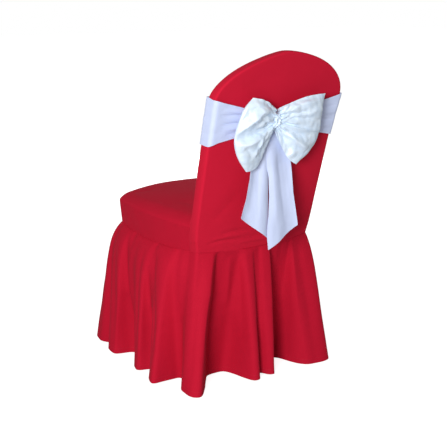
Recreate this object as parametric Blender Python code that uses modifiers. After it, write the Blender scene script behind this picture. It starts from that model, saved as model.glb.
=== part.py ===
"""Fitted chair cover with a tied sash, as it hangs on an upright banquet chair. The chair is left out.

The origin is on the floor, under the middle of the cover's box. +Z is up, the sitter faces -Y, and the
sitter's left is +X. Units are metres. Every piece is a sheet of cloth bent by a function of two shares,
one across the sheet and one along it, and then given its thickness, except the knot, which is a lump.
"""

import math
from collections import namedtuple

import bmesh
import bpy
from mathutils import Vector

COLLECTION = "chair_cover_with_sash"

# Cloth
COVER_CLOTH = 0.002
SASH_CLOTH = 0.0015
SEAM_GAP = 0.0005
WIDE_SEAM_GAP = 0.001
MERGE = 0.00001
Cloth = namedtuple("Cloth", "name colour roughness")
POLYESTER = Cloth("crimson_polyester", (0.50, 0.008, 0.031), 0.75)
SATIN = Cloth("white_satin", (0.72, 0.76, 0.88), 0.4)

# Heights, from the floor
WAIST_Z = 0.397
WAIST_DIP = 0.010
SEAT_SEAM_Z = 0.466
SEAT_ROLL = 0.017
ROLL_WIDTH = 0.036
SEAT_CROWN = 0.031
CROWN_POWER = 2.5
CROWN_REAR = 0.3
CROWN_FRONT = 0.8
SHOULDER_Z = 0.812
TOP_Z = 0.933

# Back pocket
BACK_Y = 0.1925
LEAN = math.radians(15.2)
BACK_DEPTH = 0.036
WAIST_HALF_WIDTH = 0.190
ARCH_POWER_LEFT = 1.30
ARCH_POWER_RIGHT = 1.75
BACK_CROWN = 0.006
REAR_WAIST_BULGE = 0.018
# The back's two side edges: the cover is pulled in above the waist, and on the right up to the sash
SideEdges = namedtuple("SideEdges", "z left right")
BACK_SIDES = [
    SideEdges(*row)
    for row in (
        (0.397, 0.190, 0.190),
        (0.430, 0.199, 0.193),
        (0.480, 0.204, 0.194),
        (0.600, 0.206, 0.195),
        (0.700, 0.207, 0.197),
        (0.760, 0.207, 0.200),
        (0.812, 0.207, 0.205),
    )
]

# Seat, and the waist seam that the skirt hangs from
FRONT_Y = -0.236
FRONT_HALF_WIDTH = 0.213
FRONT_CORNER = 0.042
REAR_CORNER = 0.012
SIDE_BULGE = 0.014
FRONT_BULGE = 0.012
WAIST_INSET = 0.004

# Skirt: each flute has a crest, which runs from one station of the waist seam to another and stands so
# far out at the hem, and then a dip. Rise is under 1 where it deepens soon below the seam. Stations run
# from the middle of the front, by the sitter's left.
FAN = 0.07
PUFF = 0.036
PUFF_DROP = 0.10
PUFF_REACH = 0.12
CORNER_PUFF = 0.42
CORNER_X = 0.13
HEM_LOW = 0.001
HEM_LIFT = 0.004
HEM_WAVES = 5
SLOW_STEP = 0.0225
SLOW_STEPS = 4
Flute = namedtuple("Flute", "crest_from crest_to out_from out_to dip_from dip_to dip_out rise")
FLUTES = [
    Flute(*row)
    for row in (
        (0.022, 0.050, 0.068, 0.072, 0.080, 0.088, 0.014, 0.80),
        (0.108, 0.136, 0.070, 0.076, 0.152, 0.158, 0.034, 0.80),
        (0.182, 0.208, 0.115, 0.085, 0.222, 0.228, 0.044, 0.95),
        (0.242, 0.280, 0.069, 0.069, 0.300, 0.345, 0.010, 0.95),
        (0.386, 0.420, 0.057, 0.069, 0.440, 0.450, 0.028, 1.00),
        (0.482, 0.518, 0.074, 0.090, 0.538, 0.552, 0.000, 1.15),
        (0.590, 0.631, 0.058, 0.072, 0.646, 0.722, -0.064, 0.66),
        (0.774, 0.784, 0.046, 0.044, 0.800, 0.806, 0.006, 0.75),
        (0.822, 0.842, 0.034, 0.040, 0.862, 0.924, -0.066, 0.62),
        (0.936, 1.003, 0.037, 0.092, 1.024, 1.034, 0.018, 1.00),
        (1.050, 1.078, 0.074, 0.080, 1.100, 1.110, 0.014, 1.00),
        (1.138, 1.164, 0.078, 0.072, 1.192, 1.206, 0.008, 0.80),
        (1.232, 1.260, 0.076, 0.082, 1.284, 1.294, 0.022, 0.80),
        (1.318, 1.342, 0.072, 0.068, 1.358, 1.364, 0.032, 0.80),
        (1.384, 1.424, 0.086, 0.096, 1.448, 1.460, 0.016, 0.80),
        (1.494, 1.522, 0.072, 0.076, 1.552, 1.574, 0.012, 0.80),
    )
]

# Where a flute's top lies further round than its foot: a station at the hem, and how much further
LEANS = (
    (0.480, 0.000),
    (0.560, 0.004),
    (0.600, 0.018),
    (0.632, 0.030),
    (0.650, 0.036),
    (0.722, 0.012),
    (0.770, -0.004),
    (0.850, -0.002),
    (0.936, 0.000),
)

# Sash band: its lower and upper edge across the back of the chair, where it is drawn in towards the knot
BAND_CLEARANCE = 0.004
BAND_CORNER = 0.012
BandEdges = namedtuple("BandEdges", "x low high")
BAND_EDGES = [
    BandEdges(*row)
    for row in (
        (-0.203, 0.696, 0.813),
        (-0.155, 0.706, 0.801),
        (-0.080, 0.716, 0.789),
        (0.000, 0.726, 0.780),
        (0.060, 0.728, 0.780),
        (0.120, 0.719, 0.795),
        (0.184, 0.708, 0.812),
        (0.210, 0.699, 0.820),
    )
]
BAND_FRONT = (0.702, 0.8255)

# Bow: everything is placed from the middle of the knot. A loop has a row for each of its ribs, from the
# top edge to the bottom one: how far it reaches and rises, its height at the knot, how far its outer end
# stands behind the knot, how wide it opens, and how far it curves upwards on its way out.
KNOT_X = 0.032
KNOT_Z = 0.757
KNOT_STAND = 0.034
KNOT_SIZE = (0.011, 0.016, 0.024)
KNOT_SQUARE = 0.7
LOOP_ROOT = 0.0125
LOOP_PINCH = 0.004
SWELL_OUTER = 1.6
SWELL_INNER = 0.8
Rib = namedtuple("Rib", "reach rise root stand swell arch")
LEFT_LOOP = [
    Rib(*row)
    for row in (
        (0.085, 0.067, 0.024, 0.034, 0.010, 0.007),
        (0.110, 0.044, 0.016, 0.040, 0.022, 0.004),
        (0.125, 0.009, 0.007, 0.043, 0.022, 0.000),
        (0.131, -0.030, 0.000, 0.042, 0.010, 0.000),
        (0.124, -0.063, -0.007, 0.050, 0.024, 0.000),
        (0.112, -0.092, -0.016, 0.058, 0.022, -0.006),
        (0.089, -0.123, -0.024, 0.064, 0.010, -0.016),
    )
]
RIGHT_LOOP = [
    Rib(*row)
    for row in (
        (-0.1505, 0.063, 0.024, 0.034, 0.010, 0.010),
        (-0.141, 0.033, 0.015, 0.042, 0.022, 0.005),
        (-0.144, -0.005, 0.006, 0.045, 0.024, 0.000),
        (-0.1465, -0.040, -0.002, 0.043, 0.010, 0.000),
        (-0.1325, -0.0726, -0.009, 0.050, 0.024, 0.000),
        (-0.106, -0.0975, -0.017, 0.058, 0.022, -0.004),
        (-0.072, -0.1205, -0.024, 0.064, 0.010, -0.006),
    )
]
TailEdges = namedtuple("TailEdges", "z inner outer y")
TAIL_FOLD = 0.006
TAIL_SLANT = 0.004
LEFT_TAIL = [
    TailEdges(*row)
    for row in (
        (0.730, 0.0400, 0.0500, 0.2970),
        (0.700, 0.0410, 0.0660, 0.2930),
        (0.677, 0.0420, 0.0820, 0.2925),
        (0.638, 0.0430, 0.0906, 0.2940),
        (0.607, 0.0410, 0.0978, 0.2995),
        (0.560, 0.0430, 0.1110, 0.3043),
        (0.510, 0.0470, 0.1310, 0.3095),
        (0.443, 0.0520, 0.1360, 0.3125),
    )
]
LEFT_TAIL_CUT = (0.443, 0.510)
RIGHT_TAIL = [
    TailEdges(*row)
    for row in (
        (0.730, 0.0370, 0.0060, 0.2970),
        (0.700, 0.0380, -0.0180, 0.2930),
        (0.677, 0.0390, -0.0340, 0.2935),
        (0.638, 0.0400, -0.0385, 0.2980),
        (0.607, 0.0362, -0.0387, 0.3040),
        (0.560, 0.0386, -0.0390, 0.3103),
        (0.505, 0.0442, -0.0460, 0.3160),
        (0.479, 0.0482, -0.0500, 0.3173),
        (0.448, 0.0494, -0.0540, 0.3180),
        (0.412, 0.0453, -0.0560, 0.3185),
    )
]
RIGHT_TAIL_CUT = (0.412, 0.4677)

# The middle of the finished cover's box, from the middle of the seat
BOX_MIDDLE = Vector((-0.0016, 0.0176, 0.0))


def mix(start, end, share):
    return start + (end - start) * share


def ease(share):
    """A share from 0 to 1 that starts and stops gently."""
    share = min(max(share, 0.0), 1.0)
    return share * share * (3.0 - 2.0 * share)


def read_table(rows, place):
    """The row at this place down a table whose rows are evenly spaced, with a smooth curve between them."""
    last = len(rows) - 1
    at = min(max(place, 0.0), 1.0) * last
    index = min(int(at), last - 1)
    before, here, there, after = (
        Vector(rows[min(max(i, 0), last)]) for i in (index - 1, index, index + 1, index + 2)
    )
    t = at - index
    return (
        here
        + (there - before) * (0.5 * t)
        + (before * 2.0 - here * 5.0 + there * 4.0 - after) * (0.5 * t * t)
        + (here * 3.0 - before - there * 3.0 + after) * (0.5 * t * t * t)
    )


def read_column(rows, key):
    """The row of a table at this value of its first column, which rises or falls down the table."""
    ordered = sorted(rows)
    key = min(max(key, ordered[0][0]), ordered[-1][0])
    for lower, upper in zip(ordered, ordered[1:]):
        if key <= upper[0]:
            share = (key - lower[0]) / (upper[0] - lower[0])
            return [mix(a, b, share) for a, b in zip(lower, upper)]
    return list(ordered[-1])


def path_lengths(points):
    lengths = [0.0]
    for here, there in zip(points, points[1:]):
        lengths.append(lengths[-1] + (there - here).length)
    return lengths


def point_along(points, lengths, distance):
    """The point at this distance along a line of points."""
    distance = min(max(distance, 0.0), lengths[-1])
    low, high = 0, len(points) - 1
    while high - low > 1:
        middle = (low + high) // 2
        if lengths[middle] <= distance:
            low = middle
        else:
            high = middle
    share = (distance - lengths[low]) / (lengths[high] - lengths[low])
    return points[low].lerp(points[high], share)


def back_y(z):
    """The leaning plane of the back's rear face."""
    return BACK_Y + math.tan(LEAN) * (z - WAIST_Z)


def back_half_width(z, across=1.0):
    """How far the back's edge is from its middle, on the side that this share across it is on."""
    edges = SideEdges(*read_column(BACK_SIDES, z))
    return edges.left if across > 0.0 else edges.right


def bulged_side(start, end, bulge, steps):
    """Points along a side that bows outwards, which is to the right of its direction."""
    direction = (end - start).normalized()
    outward = Vector((direction.y, -direction.x))
    return [
        start.lerp(end, i / steps) + outward * (bulge * 4.0 * (i / steps) * (1.0 - i / steps))
        for i in range(steps)
    ]


def rounded_corner(start, corner, end, steps):
    return [start.lerp(corner, i / steps).lerp(corner.lerp(end, i / steps), i / steps) for i in range(steps)]


def seat_outline(z, inset=0.0):
    """The line round the seat at this height, from the back's right edge by the front to its left edge."""
    rear_y = back_y(z) - BACK_DEPTH + WIDE_SEAM_GAP
    far = FRONT_HALF_WIDTH - inset
    front_y = FRONT_Y + inset
    right, left = -back_half_width(z, -1.0), back_half_width(z, 1.0)
    corners = [Vector(c) for c in ((right, rear_y), (-far, front_y), (far, front_y), (left, rear_y))]
    down = (corners[1] - corners[0]).normalized() * FRONT_CORNER
    across = Vector((FRONT_CORNER, 0.0))
    up = (corners[3] - corners[2]).normalized() * FRONT_CORNER
    right_end, front_start = corners[1] - down, corners[1] + across
    front_end, left_start = corners[2] - across, corners[2] + up
    return (
        bulged_side(corners[0], right_end, SIDE_BULGE, 16)
        + rounded_corner(right_end, corners[1], front_start, 8)
        + bulged_side(front_start, front_end, FRONT_BULGE, 14)
        + rounded_corner(front_end, corners[2], left_start, 8)
        + bulged_side(left_start, corners[3], SIDE_BULGE, 16)
        + [corners[3]]
    )


def waist_outline():
    """The closed waist seam, from the middle of the front by the sitter's left, as seen from above."""
    seat = seat_outline(WAIST_Z, WAIST_INSET)
    middle = len(seat) // 2
    left_corner = Vector((WAIST_HALF_WIDTH, BACK_Y))
    right_corner = Vector((-WAIST_HALF_WIDTH, BACK_Y))
    inwards = Vector((REAR_CORNER, 0.0))
    forwards = Vector((0.0, -REAR_CORNER))
    left = rounded_corner(left_corner + forwards, left_corner, left_corner - inwards, 6)
    rear = bulged_side(left_corner - inwards, right_corner + inwards, REAR_WAIST_BULGE, 30)
    right = rounded_corner(right_corner + inwards, right_corner, right_corner + forwards, 6)
    return seat[middle:] + left + rear + right + [right_corner + forwards] + seat[: middle + 1]


WAIST = waist_outline()
WAIST_LENGTHS = path_lengths(WAIST)
WAIST_ROUND = WAIST_LENGTHS[-1]


def waist_point(station):
    return point_along(WAIST, WAIST_LENGTHS, station % WAIST_ROUND)


def waist_outward(station):
    """The direction away from the seat, which turns gradually round the corners."""
    chord = waist_point(station + FAN) - waist_point(station - FAN)
    return Vector((chord.y, -chord.x)).normalized()


def waist_height(x, y):
    """The waist seam dips a little between the corners of the seat."""
    across = max(0.0, 1.0 - (x / WAIST_HALF_WIDTH) ** 2)
    along = max(0.0, 1.0 - (y / BACK_Y) ** 2)
    return WAIST_Z - WAIST_DIP * max(across, along)


# Back pocket


def arch_height(across):
    """The height of the back's top edge at this share of its half width."""
    power = ARCH_POWER_LEFT if across > 0.0 else ARCH_POWER_RIGHT
    return SHOULDER_Z + (TOP_Z - SHOULDER_Z) * math.sqrt(max(0.0, 1.0 - abs(across) ** power))


def panel_across(share):
    """Across the panel from +1 to -1, closer together near its edges."""
    return math.sin(math.pi * (0.5 - share))


def rear_panel(share, up):
    across = panel_across(share)
    x_foot = across * WAIST_HALF_WIDTH
    foot = waist_height(x_foot, BACK_Y) + SEAM_GAP
    z = mix(foot, arch_height(across), up)
    hollow = (1.0 - across * across) * math.sin(math.pi * up) * BACK_CROWN
    bulge = (1.0 - across * across) * (1.0 - up) ** 2 * REAR_WAIST_BULGE
    return Vector((across * back_half_width(z, across), back_y(z) + hollow + bulge, z))


def front_panel(share, up):
    across = -panel_across(share)
    foot = seat_rear_height(across * back_half_width(SEAT_SEAM_Z, across)) + WIDE_SEAM_GAP
    z = mix(foot, arch_height(across), up)
    crown = (1.0 - across * across) * math.sin(math.pi * up) * BACK_CROWN
    return Vector((across * back_half_width(z, across), back_y(z) - BACK_DEPTH - crown, z))


def back_outline():
    """The outline of the back from its left foot over the arch to its right foot."""
    sides = 12
    left = [mix(WAIST_Z + SEAM_GAP, SHOULDER_Z, i / sides) for i in range(sides)]
    points = [Vector((back_half_width(z, 1.0), z)) for z in left]
    turns = 36
    for i in range(turns + 1):
        across = math.cos(math.pi * i / turns)
        points.append(Vector((across * back_half_width(SHOULDER_Z, across), arch_height(across))))
    points += [Vector((-back_half_width(z, -1.0), z)) for z in reversed(left)]
    return points


BACK_EDGE = back_outline()
BACK_EDGE_LENGTHS = path_lengths(BACK_EDGE)


def side_strip(share, forward):
    """The strip between the two panels, up one side of the back, over its arch and down the other."""
    x, z = point_along(BACK_EDGE, BACK_EDGE_LENGTHS, share * BACK_EDGE_LENGTHS[-1])
    inset = COVER_CLOTH / math.cos(LEAN) + SEAM_GAP
    return Vector((x, back_y(z) - mix(inset, BACK_DEPTH - inset, forward), z))


# Seat


def rolled_edge(distance):
    """How far up its quarter-round roll the seat panel is at this distance from its edge."""
    inside = 1.0 - min(max(distance / ROLL_WIDTH, 0.0), 1.0)
    return math.sqrt(1.0 - inside * inside)


def seat_height(across, roll, along):
    """The height of the seat panel at a share across it, on its roll, and a share along it to the front."""
    crown = (1.0 - abs(across) ** CROWN_POWER) * math.sin(math.pi * mix(CROWN_REAR, CROWN_FRONT, along))
    return SEAT_SEAM_Z + roll * (SEAT_ROLL + SEAT_CROWN * crown)


def seat_rear_height(x):
    """The height of the seat panel where it meets the back."""
    half = back_half_width(SEAT_SEAM_Z, x)
    across = min(abs(x) / half, 1.0)
    return seat_height(across, rolled_edge((1.0 - across) * half), 0.0)


def seat_panel(share, forward):
    """The top of the seat, crowned, and rolled over at its sides and front to the seam below."""
    across = panel_across(share)
    along = math.sin(0.5 * math.pi * forward)
    half = back_half_width(SEAT_SEAM_Z, across)
    rear_y = back_y(seat_rear_height(across * half)) - BACK_DEPTH - WIDE_SEAM_GAP
    y = mix(rear_y, FRONT_Y, along)
    side = min(along / (1.0 - FRONT_CORNER / (rear_y - FRONT_Y)), 1.0)
    width = mix(half, FRONT_HALF_WIDTH, along) + SIDE_BULGE * 4.0 * side * (1.0 - side)
    before_corner = min(max(y - FRONT_Y, 0.0), FRONT_CORNER)
    width -= (math.sqrt(FRONT_CORNER) - math.sqrt(before_corner)) ** 2
    roll = rolled_edge((1.0 - abs(across)) * width) * rolled_edge(y - FRONT_Y)
    y -= FRONT_BULGE * (1.0 - across * across) * along**4
    return Vector((across * width, y, seat_height(across, roll, along)))


SEAT_EDGE = seat_outline(SEAT_SEAM_Z)
SEAT_EDGE_LENGTHS = path_lengths(SEAT_EDGE)
SEAT_FOOT = seat_outline(WAIST_Z, WAIST_INSET)
SEAT_FOOT_LENGTHS = path_lengths(SEAT_FOOT)


def seat_band(share, up):
    """The band round the seat's sides and front, from the waist seam up to the seat panel."""
    foot = point_along(SEAT_FOOT, SEAT_FOOT_LENGTHS, share * SEAT_FOOT_LENGTHS[-1])
    edge = point_along(SEAT_EDGE, SEAT_EDGE_LENGTHS, share * SEAT_EDGE_LENGTHS[-1])
    flat = foot.lerp(edge, up)
    low = waist_height(foot.x, foot.y) + SEAM_GAP
    high = SEAT_SEAM_Z - COVER_CLOTH
    return Vector((flat.x, flat.y, mix(low, high, up)))


# Skirt


def flute_knots():
    knots = []
    for flute in FLUTES:
        knots += [(flute.crest_from, flute.out_from), (flute.crest_to, flute.out_to)]
        knots += [(flute.dip_from, flute.dip_out), (flute.dip_to, flute.dip_out)]
    first, last = knots[0], knots[-1]
    return [(last[0] - WAIST_ROUND, last[1])] + knots + [(first[0] + WAIST_ROUND, first[1])]


KNOTS = flute_knots()


def flute_out(station):
    """How far the hem stands outside the waist seam below this station."""
    for (low, out_low), (high, out_high) in zip(KNOTS, KNOTS[1:]):
        if station <= high:
            return mix(out_low, out_high, ease((station - low) / (high - low)))
    return KNOTS[-1][1]


def slow_out(station):
    """How far the hem stands out on the whole, without its flutes."""
    steps = range(-SLOW_STEPS, SLOW_STEPS + 1)
    return sum(flute_out((station + step * SLOW_STEP) % WAIST_ROUND) for step in steps) / len(steps)


def flute_rises():
    """The middle of each flute and its rise, once more before the first flute and after the last."""
    rises = [(0.5 * (flute.crest_from + flute.dip_to), flute.rise) for flute in FLUTES]
    before = (rises[-1][0] - WAIST_ROUND, rises[-1][1])
    after = (rises[0][0] + WAIST_ROUND, rises[0][1])
    return [before] + rises + [after]


RISES = flute_rises()


def hem_point(station):
    return waist_point(station) + waist_outward(station) * flute_out(station)


def hem_stations(count=2400):
    """Stations spaced so that the cloth between them is equally long along the hem."""
    stations = [WAIST_ROUND * i / count for i in range(count + 1)]
    lengths = path_lengths([hem_point(s) for s in stations])
    return [Vector((s, 0.0)) for s in stations], lengths


HEM_STATIONS, HEM_LENGTHS = hem_stations()


def puff_at(station):
    """The skirt springs out from its seam round the sides and front, less so at the right rear corner."""
    point = waist_point(station)
    side = ease((BACK_Y - point.y) / PUFF_REACH)
    corner = CORNER_PUFF * ease((-point.x - CORNER_X) / (WAIST_HALF_WIDTH - CORNER_X))
    return PUFF * max(side, corner)


def skirt(share, up):
    """It springs out from the seam towards a slow line round the hem, with the flutes in and out of it."""
    station = point_along(HEM_STATIONS, HEM_LENGTHS, share * HEM_LENGTHS[-1]).x
    station = station % WAIST_ROUND if share < 1.0 else 0.0
    top_station = station + read_column(LEANS, station)[1]
    seam = waist_point(top_station)
    outward = waist_outward(top_station)
    hem = hem_point(station)
    slow = waist_point(station) + waist_outward(station) * slow_out(station)
    down = (1.0 - up) ** 1.5
    rise = read_column(RISES, station)[1]
    puff = puff_at(top_station)
    spring = puff * (1.0 - math.exp(-down / PUFF_DROP)) - puff * down
    flat = seam + outward * spring + (slow - seam) * down + (hem - slow) * down**rise
    high = waist_height(seam.x, seam.y) - SEAM_GAP
    low = HEM_LOW + HEM_LIFT * (0.5 - 0.5 * math.cos(2.0 * math.pi * HEM_WAVES * station / WAIST_ROUND))
    return Vector((flat.x, flat.y, mix(high, low, down)))


# Sash


def band_outline(z):
    """The closed line of the band round the back at this height, from the middle of the front."""
    left = back_half_width(z, 1.0) + BAND_CLEARANCE
    right = -back_half_width(z, -1.0) - BAND_CLEARANCE
    rear = back_y(z) + BACK_CROWN + BAND_CLEARANCE
    front = back_y(z) - BACK_DEPTH - BACK_CROWN - BAND_CLEARANCE
    corners = [Vector(c) for c in ((left, front), (left, rear), (right, rear), (right, front))]
    points = []
    for i, corner in enumerate(corners):
        before = (corners[i - 1] - corner).normalized() * BAND_CORNER
        after = (corners[(i + 1) % 4] - corner).normalized() * BAND_CORNER
        points += rounded_corner(corner + before, corner, corner + after, 5) + [corner + after]
    middle = Vector((0.0, front))
    return [middle] + points + [middle]


def sash_band(share, up):
    """The sash round the back. Its edges draw in towards the knot across the rear of the chair."""
    z = mix(*BAND_FRONT, up)
    for _ in range(2):
        line = band_outline(z)
        lengths = path_lengths(line)
        point = point_along(line, lengths, share * lengths[-1])
        back = ease(1.0 - (back_y(z) - point.y) / BACK_DEPTH)
        edges = BandEdges(*read_column(BAND_EDGES, point.x))
        z = mix(mix(BAND_FRONT[0], edges.low, back), mix(BAND_FRONT[1], edges.high, back), up)
    return Vector((point.x, point.y, z))


def loop_point(rows, along, across):
    """A loop of the bow. Along runs out from the knot on the outer layer, round the fold and back."""
    rib = Rib(*read_table(rows, across))
    turn = math.pi * along
    out = math.sin(turn)
    side = math.copysign(1.0, rib.reach)
    x = KNOT_X + mix(side * LOOP_ROOT, rib.reach, out)
    z = KNOT_Z + mix(rib.root, rib.rise, out) + rib.arch * math.sin(math.pi * out)
    layer = math.cos(turn)
    swell = rib.swell * mix(SWELL_INNER, SWELL_OUTER, 0.5 + 0.5 * layer) * out**0.7
    depth = layer * (LOOP_PINCH + swell)
    return Vector((x, back_y(z) + mix(KNOT_STAND, rib.stand, out) + depth, z))


def bow_loop_left(share, up):
    return loop_point(LEFT_LOOP, share, 1.0 - up)


def bow_loop_right(share, up):
    return loop_point(RIGHT_LOOP, 1.0 - share, 1.0 - up)


def tail_point(rows, cut, width, down):
    """A tail of the bow, which hangs from the knot and is cut on the slant."""
    inner_end, outer_end = cut
    z = mix(rows[0].z, mix(inner_end, outer_end, width), down)
    edges = TailEdges(*read_column(rows, z))
    fold = TAIL_FOLD * math.sin(2.0 * math.pi * width) * ease(down * 3.0)
    return Vector((mix(edges.inner, edges.outer, width), edges.y + fold + TAIL_SLANT * width, z))


def bow_tail_left(share, up):
    return tail_point(LEFT_TAIL, LEFT_TAIL_CUT, 1.0 - share, 1.0 - up)


def bow_tail_right(share, up):
    return tail_point(RIGHT_TAIL, RIGHT_TAIL_CUT, share, 1.0 - up)


# Blender objects

INWARD, BOTH_WAYS = -1.0, 0.0
Sheet = namedtuple("Sheet", "name shape columns rows cloth thickness side")
SHEETS = [
    Sheet(*row)
    for row in (
        ("back_rear_panel", rear_panel, 18, 11, POLYESTER, COVER_CLOTH, INWARD),
        ("back_front_panel", front_panel, 16, 8, POLYESTER, COVER_CLOTH, INWARD),
        ("back_side_strip", side_strip, 50, 1, POLYESTER, COVER_CLOTH, INWARD),
        ("seat_panel", seat_panel, 14, 12, POLYESTER, COVER_CLOTH, INWARD),
        ("seat_band", seat_band, 46, 2, POLYESTER, COVER_CLOTH, INWARD),
        ("skirt", skirt, 132, 6, POLYESTER, COVER_CLOTH, INWARD),
        ("sash_band", sash_band, 72, 2, SATIN, SASH_CLOTH, BOTH_WAYS),
        ("bow_loop_left", bow_loop_left, 16, 12, SATIN, SASH_CLOTH, BOTH_WAYS),
        ("bow_loop_right", bow_loop_right, 16, 12, SATIN, SASH_CLOTH, BOTH_WAYS),
        ("bow_tail_left", bow_tail_left, 5, 8, SATIN, SASH_CLOTH, BOTH_WAYS),
        ("bow_tail_right", bow_tail_right, 5, 8, SATIN, SASH_CLOTH, BOTH_WAYS),
    )
]


def cloth_material(name, cloth):
    material = bpy.data.materials.new(f"{name}_{cloth.name}")
    material.use_nodes = True
    shader = material.node_tree.nodes["Principled BSDF"]
    shader.inputs["Base Color"].default_value = (*cloth.colour, 1.0)
    shader.inputs["Roughness"].default_value = cloth.roughness
    shader.inputs["Metallic"].default_value = 0.0
    return material


def add_object(name, form, cloth, collection):
    mesh = bpy.data.meshes.new(name)
    form.to_mesh(mesh)
    form.free()
    mesh.materials.append(cloth_material(name, cloth))
    mesh.shade_smooth()
    piece = bpy.data.objects.new(name, mesh)
    piece.location = -BOX_MIDDLE
    collection.objects.link(piece)
    return piece


def add_sheet(sheet, collection):
    """A flat grid bent by the sheet's shape, then given its thickness to one side or to both."""
    form = bmesh.new()
    bmesh.ops.create_grid(form, x_segments=sheet.columns, y_segments=sheet.rows, size=0.5)
    for vertex in form.verts:
        vertex.co = sheet.shape(vertex.co.x + 0.5, vertex.co.y + 0.5)
    bmesh.ops.remove_doubles(form, verts=form.verts, dist=MERGE)
    piece = add_object(sheet.name, form, sheet.cloth, collection)
    solid = piece.modifiers.new("thickness", "SOLIDIFY")
    solid.thickness = sheet.thickness
    solid.offset = sheet.side


def add_knot(collection):
    """The knot: a squarish lump that the turns of the sash leave between the loops."""
    form = bmesh.new()
    bmesh.ops.create_uvsphere(form, u_segments=16, v_segments=10, radius=1.0)
    for vertex in form.verts:
        x, y, z = (math.copysign(abs(c) ** KNOT_SQUARE, c) * half for c, half in zip(vertex.co, KNOT_SIZE))
        vertex.co = (KNOT_X + x, back_y(KNOT_Z + z) + KNOT_STAND + y, KNOT_Z + z)
    add_object("bow_knot", form, SATIN, collection)


for item in list(bpy.data.objects):
    bpy.data.objects.remove(item, do_unlink=True)
cover = bpy.data.collections.new(COLLECTION)
bpy.context.scene.collection.children.link(cover)
for sheet in SHEETS:
    add_sheet(sheet, cover)
add_knot(cover)
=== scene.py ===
"""A fitted cover for a banquet chair, with a satin sash tied in a bow behind its back.

The cover is sewn from crimson polyester: a pocket over the chair's back, a seat top with a band round it,
and a fluted skirt down to the floor. The chair itself is left out. Lengths are metres, except in the
tables of creases, +Z is up, the sitter faces -Y, and the sitter's left is +X.
"""

import math
from bisect import bisect_right
from collections import namedtuple
from itertools import accumulate

import bmesh
import bpy
import numpy as np
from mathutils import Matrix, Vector, noise


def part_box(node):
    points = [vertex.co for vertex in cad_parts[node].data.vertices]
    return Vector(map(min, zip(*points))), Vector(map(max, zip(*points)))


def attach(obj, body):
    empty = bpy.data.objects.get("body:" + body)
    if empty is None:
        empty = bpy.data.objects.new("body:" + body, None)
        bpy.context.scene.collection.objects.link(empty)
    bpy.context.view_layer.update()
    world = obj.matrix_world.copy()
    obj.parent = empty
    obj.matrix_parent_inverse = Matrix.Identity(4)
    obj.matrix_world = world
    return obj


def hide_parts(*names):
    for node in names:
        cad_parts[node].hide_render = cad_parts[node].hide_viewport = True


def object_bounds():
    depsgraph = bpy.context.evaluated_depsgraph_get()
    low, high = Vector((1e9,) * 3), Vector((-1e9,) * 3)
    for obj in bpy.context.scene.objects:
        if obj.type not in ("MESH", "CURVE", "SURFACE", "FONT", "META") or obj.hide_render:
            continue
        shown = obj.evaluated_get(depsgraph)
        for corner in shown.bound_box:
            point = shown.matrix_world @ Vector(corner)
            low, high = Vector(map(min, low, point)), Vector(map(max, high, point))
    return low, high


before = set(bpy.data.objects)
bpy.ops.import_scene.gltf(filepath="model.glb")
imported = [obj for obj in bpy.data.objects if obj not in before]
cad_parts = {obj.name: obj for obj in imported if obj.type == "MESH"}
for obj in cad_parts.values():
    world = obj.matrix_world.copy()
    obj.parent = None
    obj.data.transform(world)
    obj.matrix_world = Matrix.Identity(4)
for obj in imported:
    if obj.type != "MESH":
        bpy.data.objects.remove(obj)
cad_low, cad_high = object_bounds()

# ---- Rear panel of the back ----
# One leaning panel of plain-woven polyester, drawn in above the waist and cut to an uneven arch. Its sides
# and arch turn round the chair's back before they are sewn to the side strip, and its foot is sewn to the
# skirt.

CLOTH_THICKNESS = 0.001
SEAM_GAP = 0.0002
SEAM_TURN = 0.0006
WAIST_Z = 0.397
WAIST_DIP = 0.010
WAIST_HALF_WIDTH = 0.190
SHOULDER_Z = 0.812
SHOULDER_LEFT = 0.207
TOP_Z = 0.933
BACK_Y = 0.1925
LEAN = math.radians(15.2)
BACK_DEPTH = 0.036
BACK_ROUND = 0.006
BACK_CROWN = 0.006
REAR_WAIST_BULGE = 0.018
ARCH_POWER_LEFT = 1.30
ARCH_POWER_RIGHT = 1.75
# Two copies of one crimson polyester. This lighter one, on the back's panels and strip, is painted light.
LIT_CRIMSON = (0.585, 0.0110, 0.0370)
LIT_CRIMSON_DEEP = (0.535, 0.0092, 0.0315)
REAR_COLUMNS = 120
REAR_ROWS = 130
CREASE_ROUNDING = 1.6
CREASE_FADE = 0.6
SHARP_FOLD = math.radians(65.0)


def rows_of(kind, *rows):
    """A table whose rows have named columns."""
    return [kind(*row) for row in rows]


# The panel's two side edges, which the cover is drawn in by above the waist
SideEdges = namedtuple("SideEdges", "z left right")
BACK_SIDES = rows_of(
    SideEdges,
    (0.397, 0.190, 0.190),
    (0.430, 0.199, 0.193),
    (0.480, 0.204, 0.194),
    (0.600, 0.206, 0.195),
    (0.700, 0.207, 0.197),
    (0.760, 0.207, 0.200),
    (0.812, 0.207, 0.205),
)

# A ripple is soft rises and falls of the cloth: how high they stand, about how wide each is, a number that
# sets its pattern apart, and a scale for x, y and z, which is under 1 where the pattern is drawn out.
Ripple = namedtuple("Ripple", "height size seed scale", defaults=(1.0,))
REAR_RIPPLE = Ripple(0.0008, 0.09, 3.0)

# A crease is a fold: how wide it is, how high it stands, and the line on the cloth that it runs along. A
# negative height is a trough.
Crease = namedtuple("Crease", "width height line")


def crease_table(*rows):
    """Creases from rows of a width, a height and the points of a line, all in millimetres."""
    return [
        Crease(width / 1000.0, height / 1000.0, [(x / 1000.0, y / 1000.0) for x, y in line])
        for width, height, *line in rows
    ]


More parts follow.
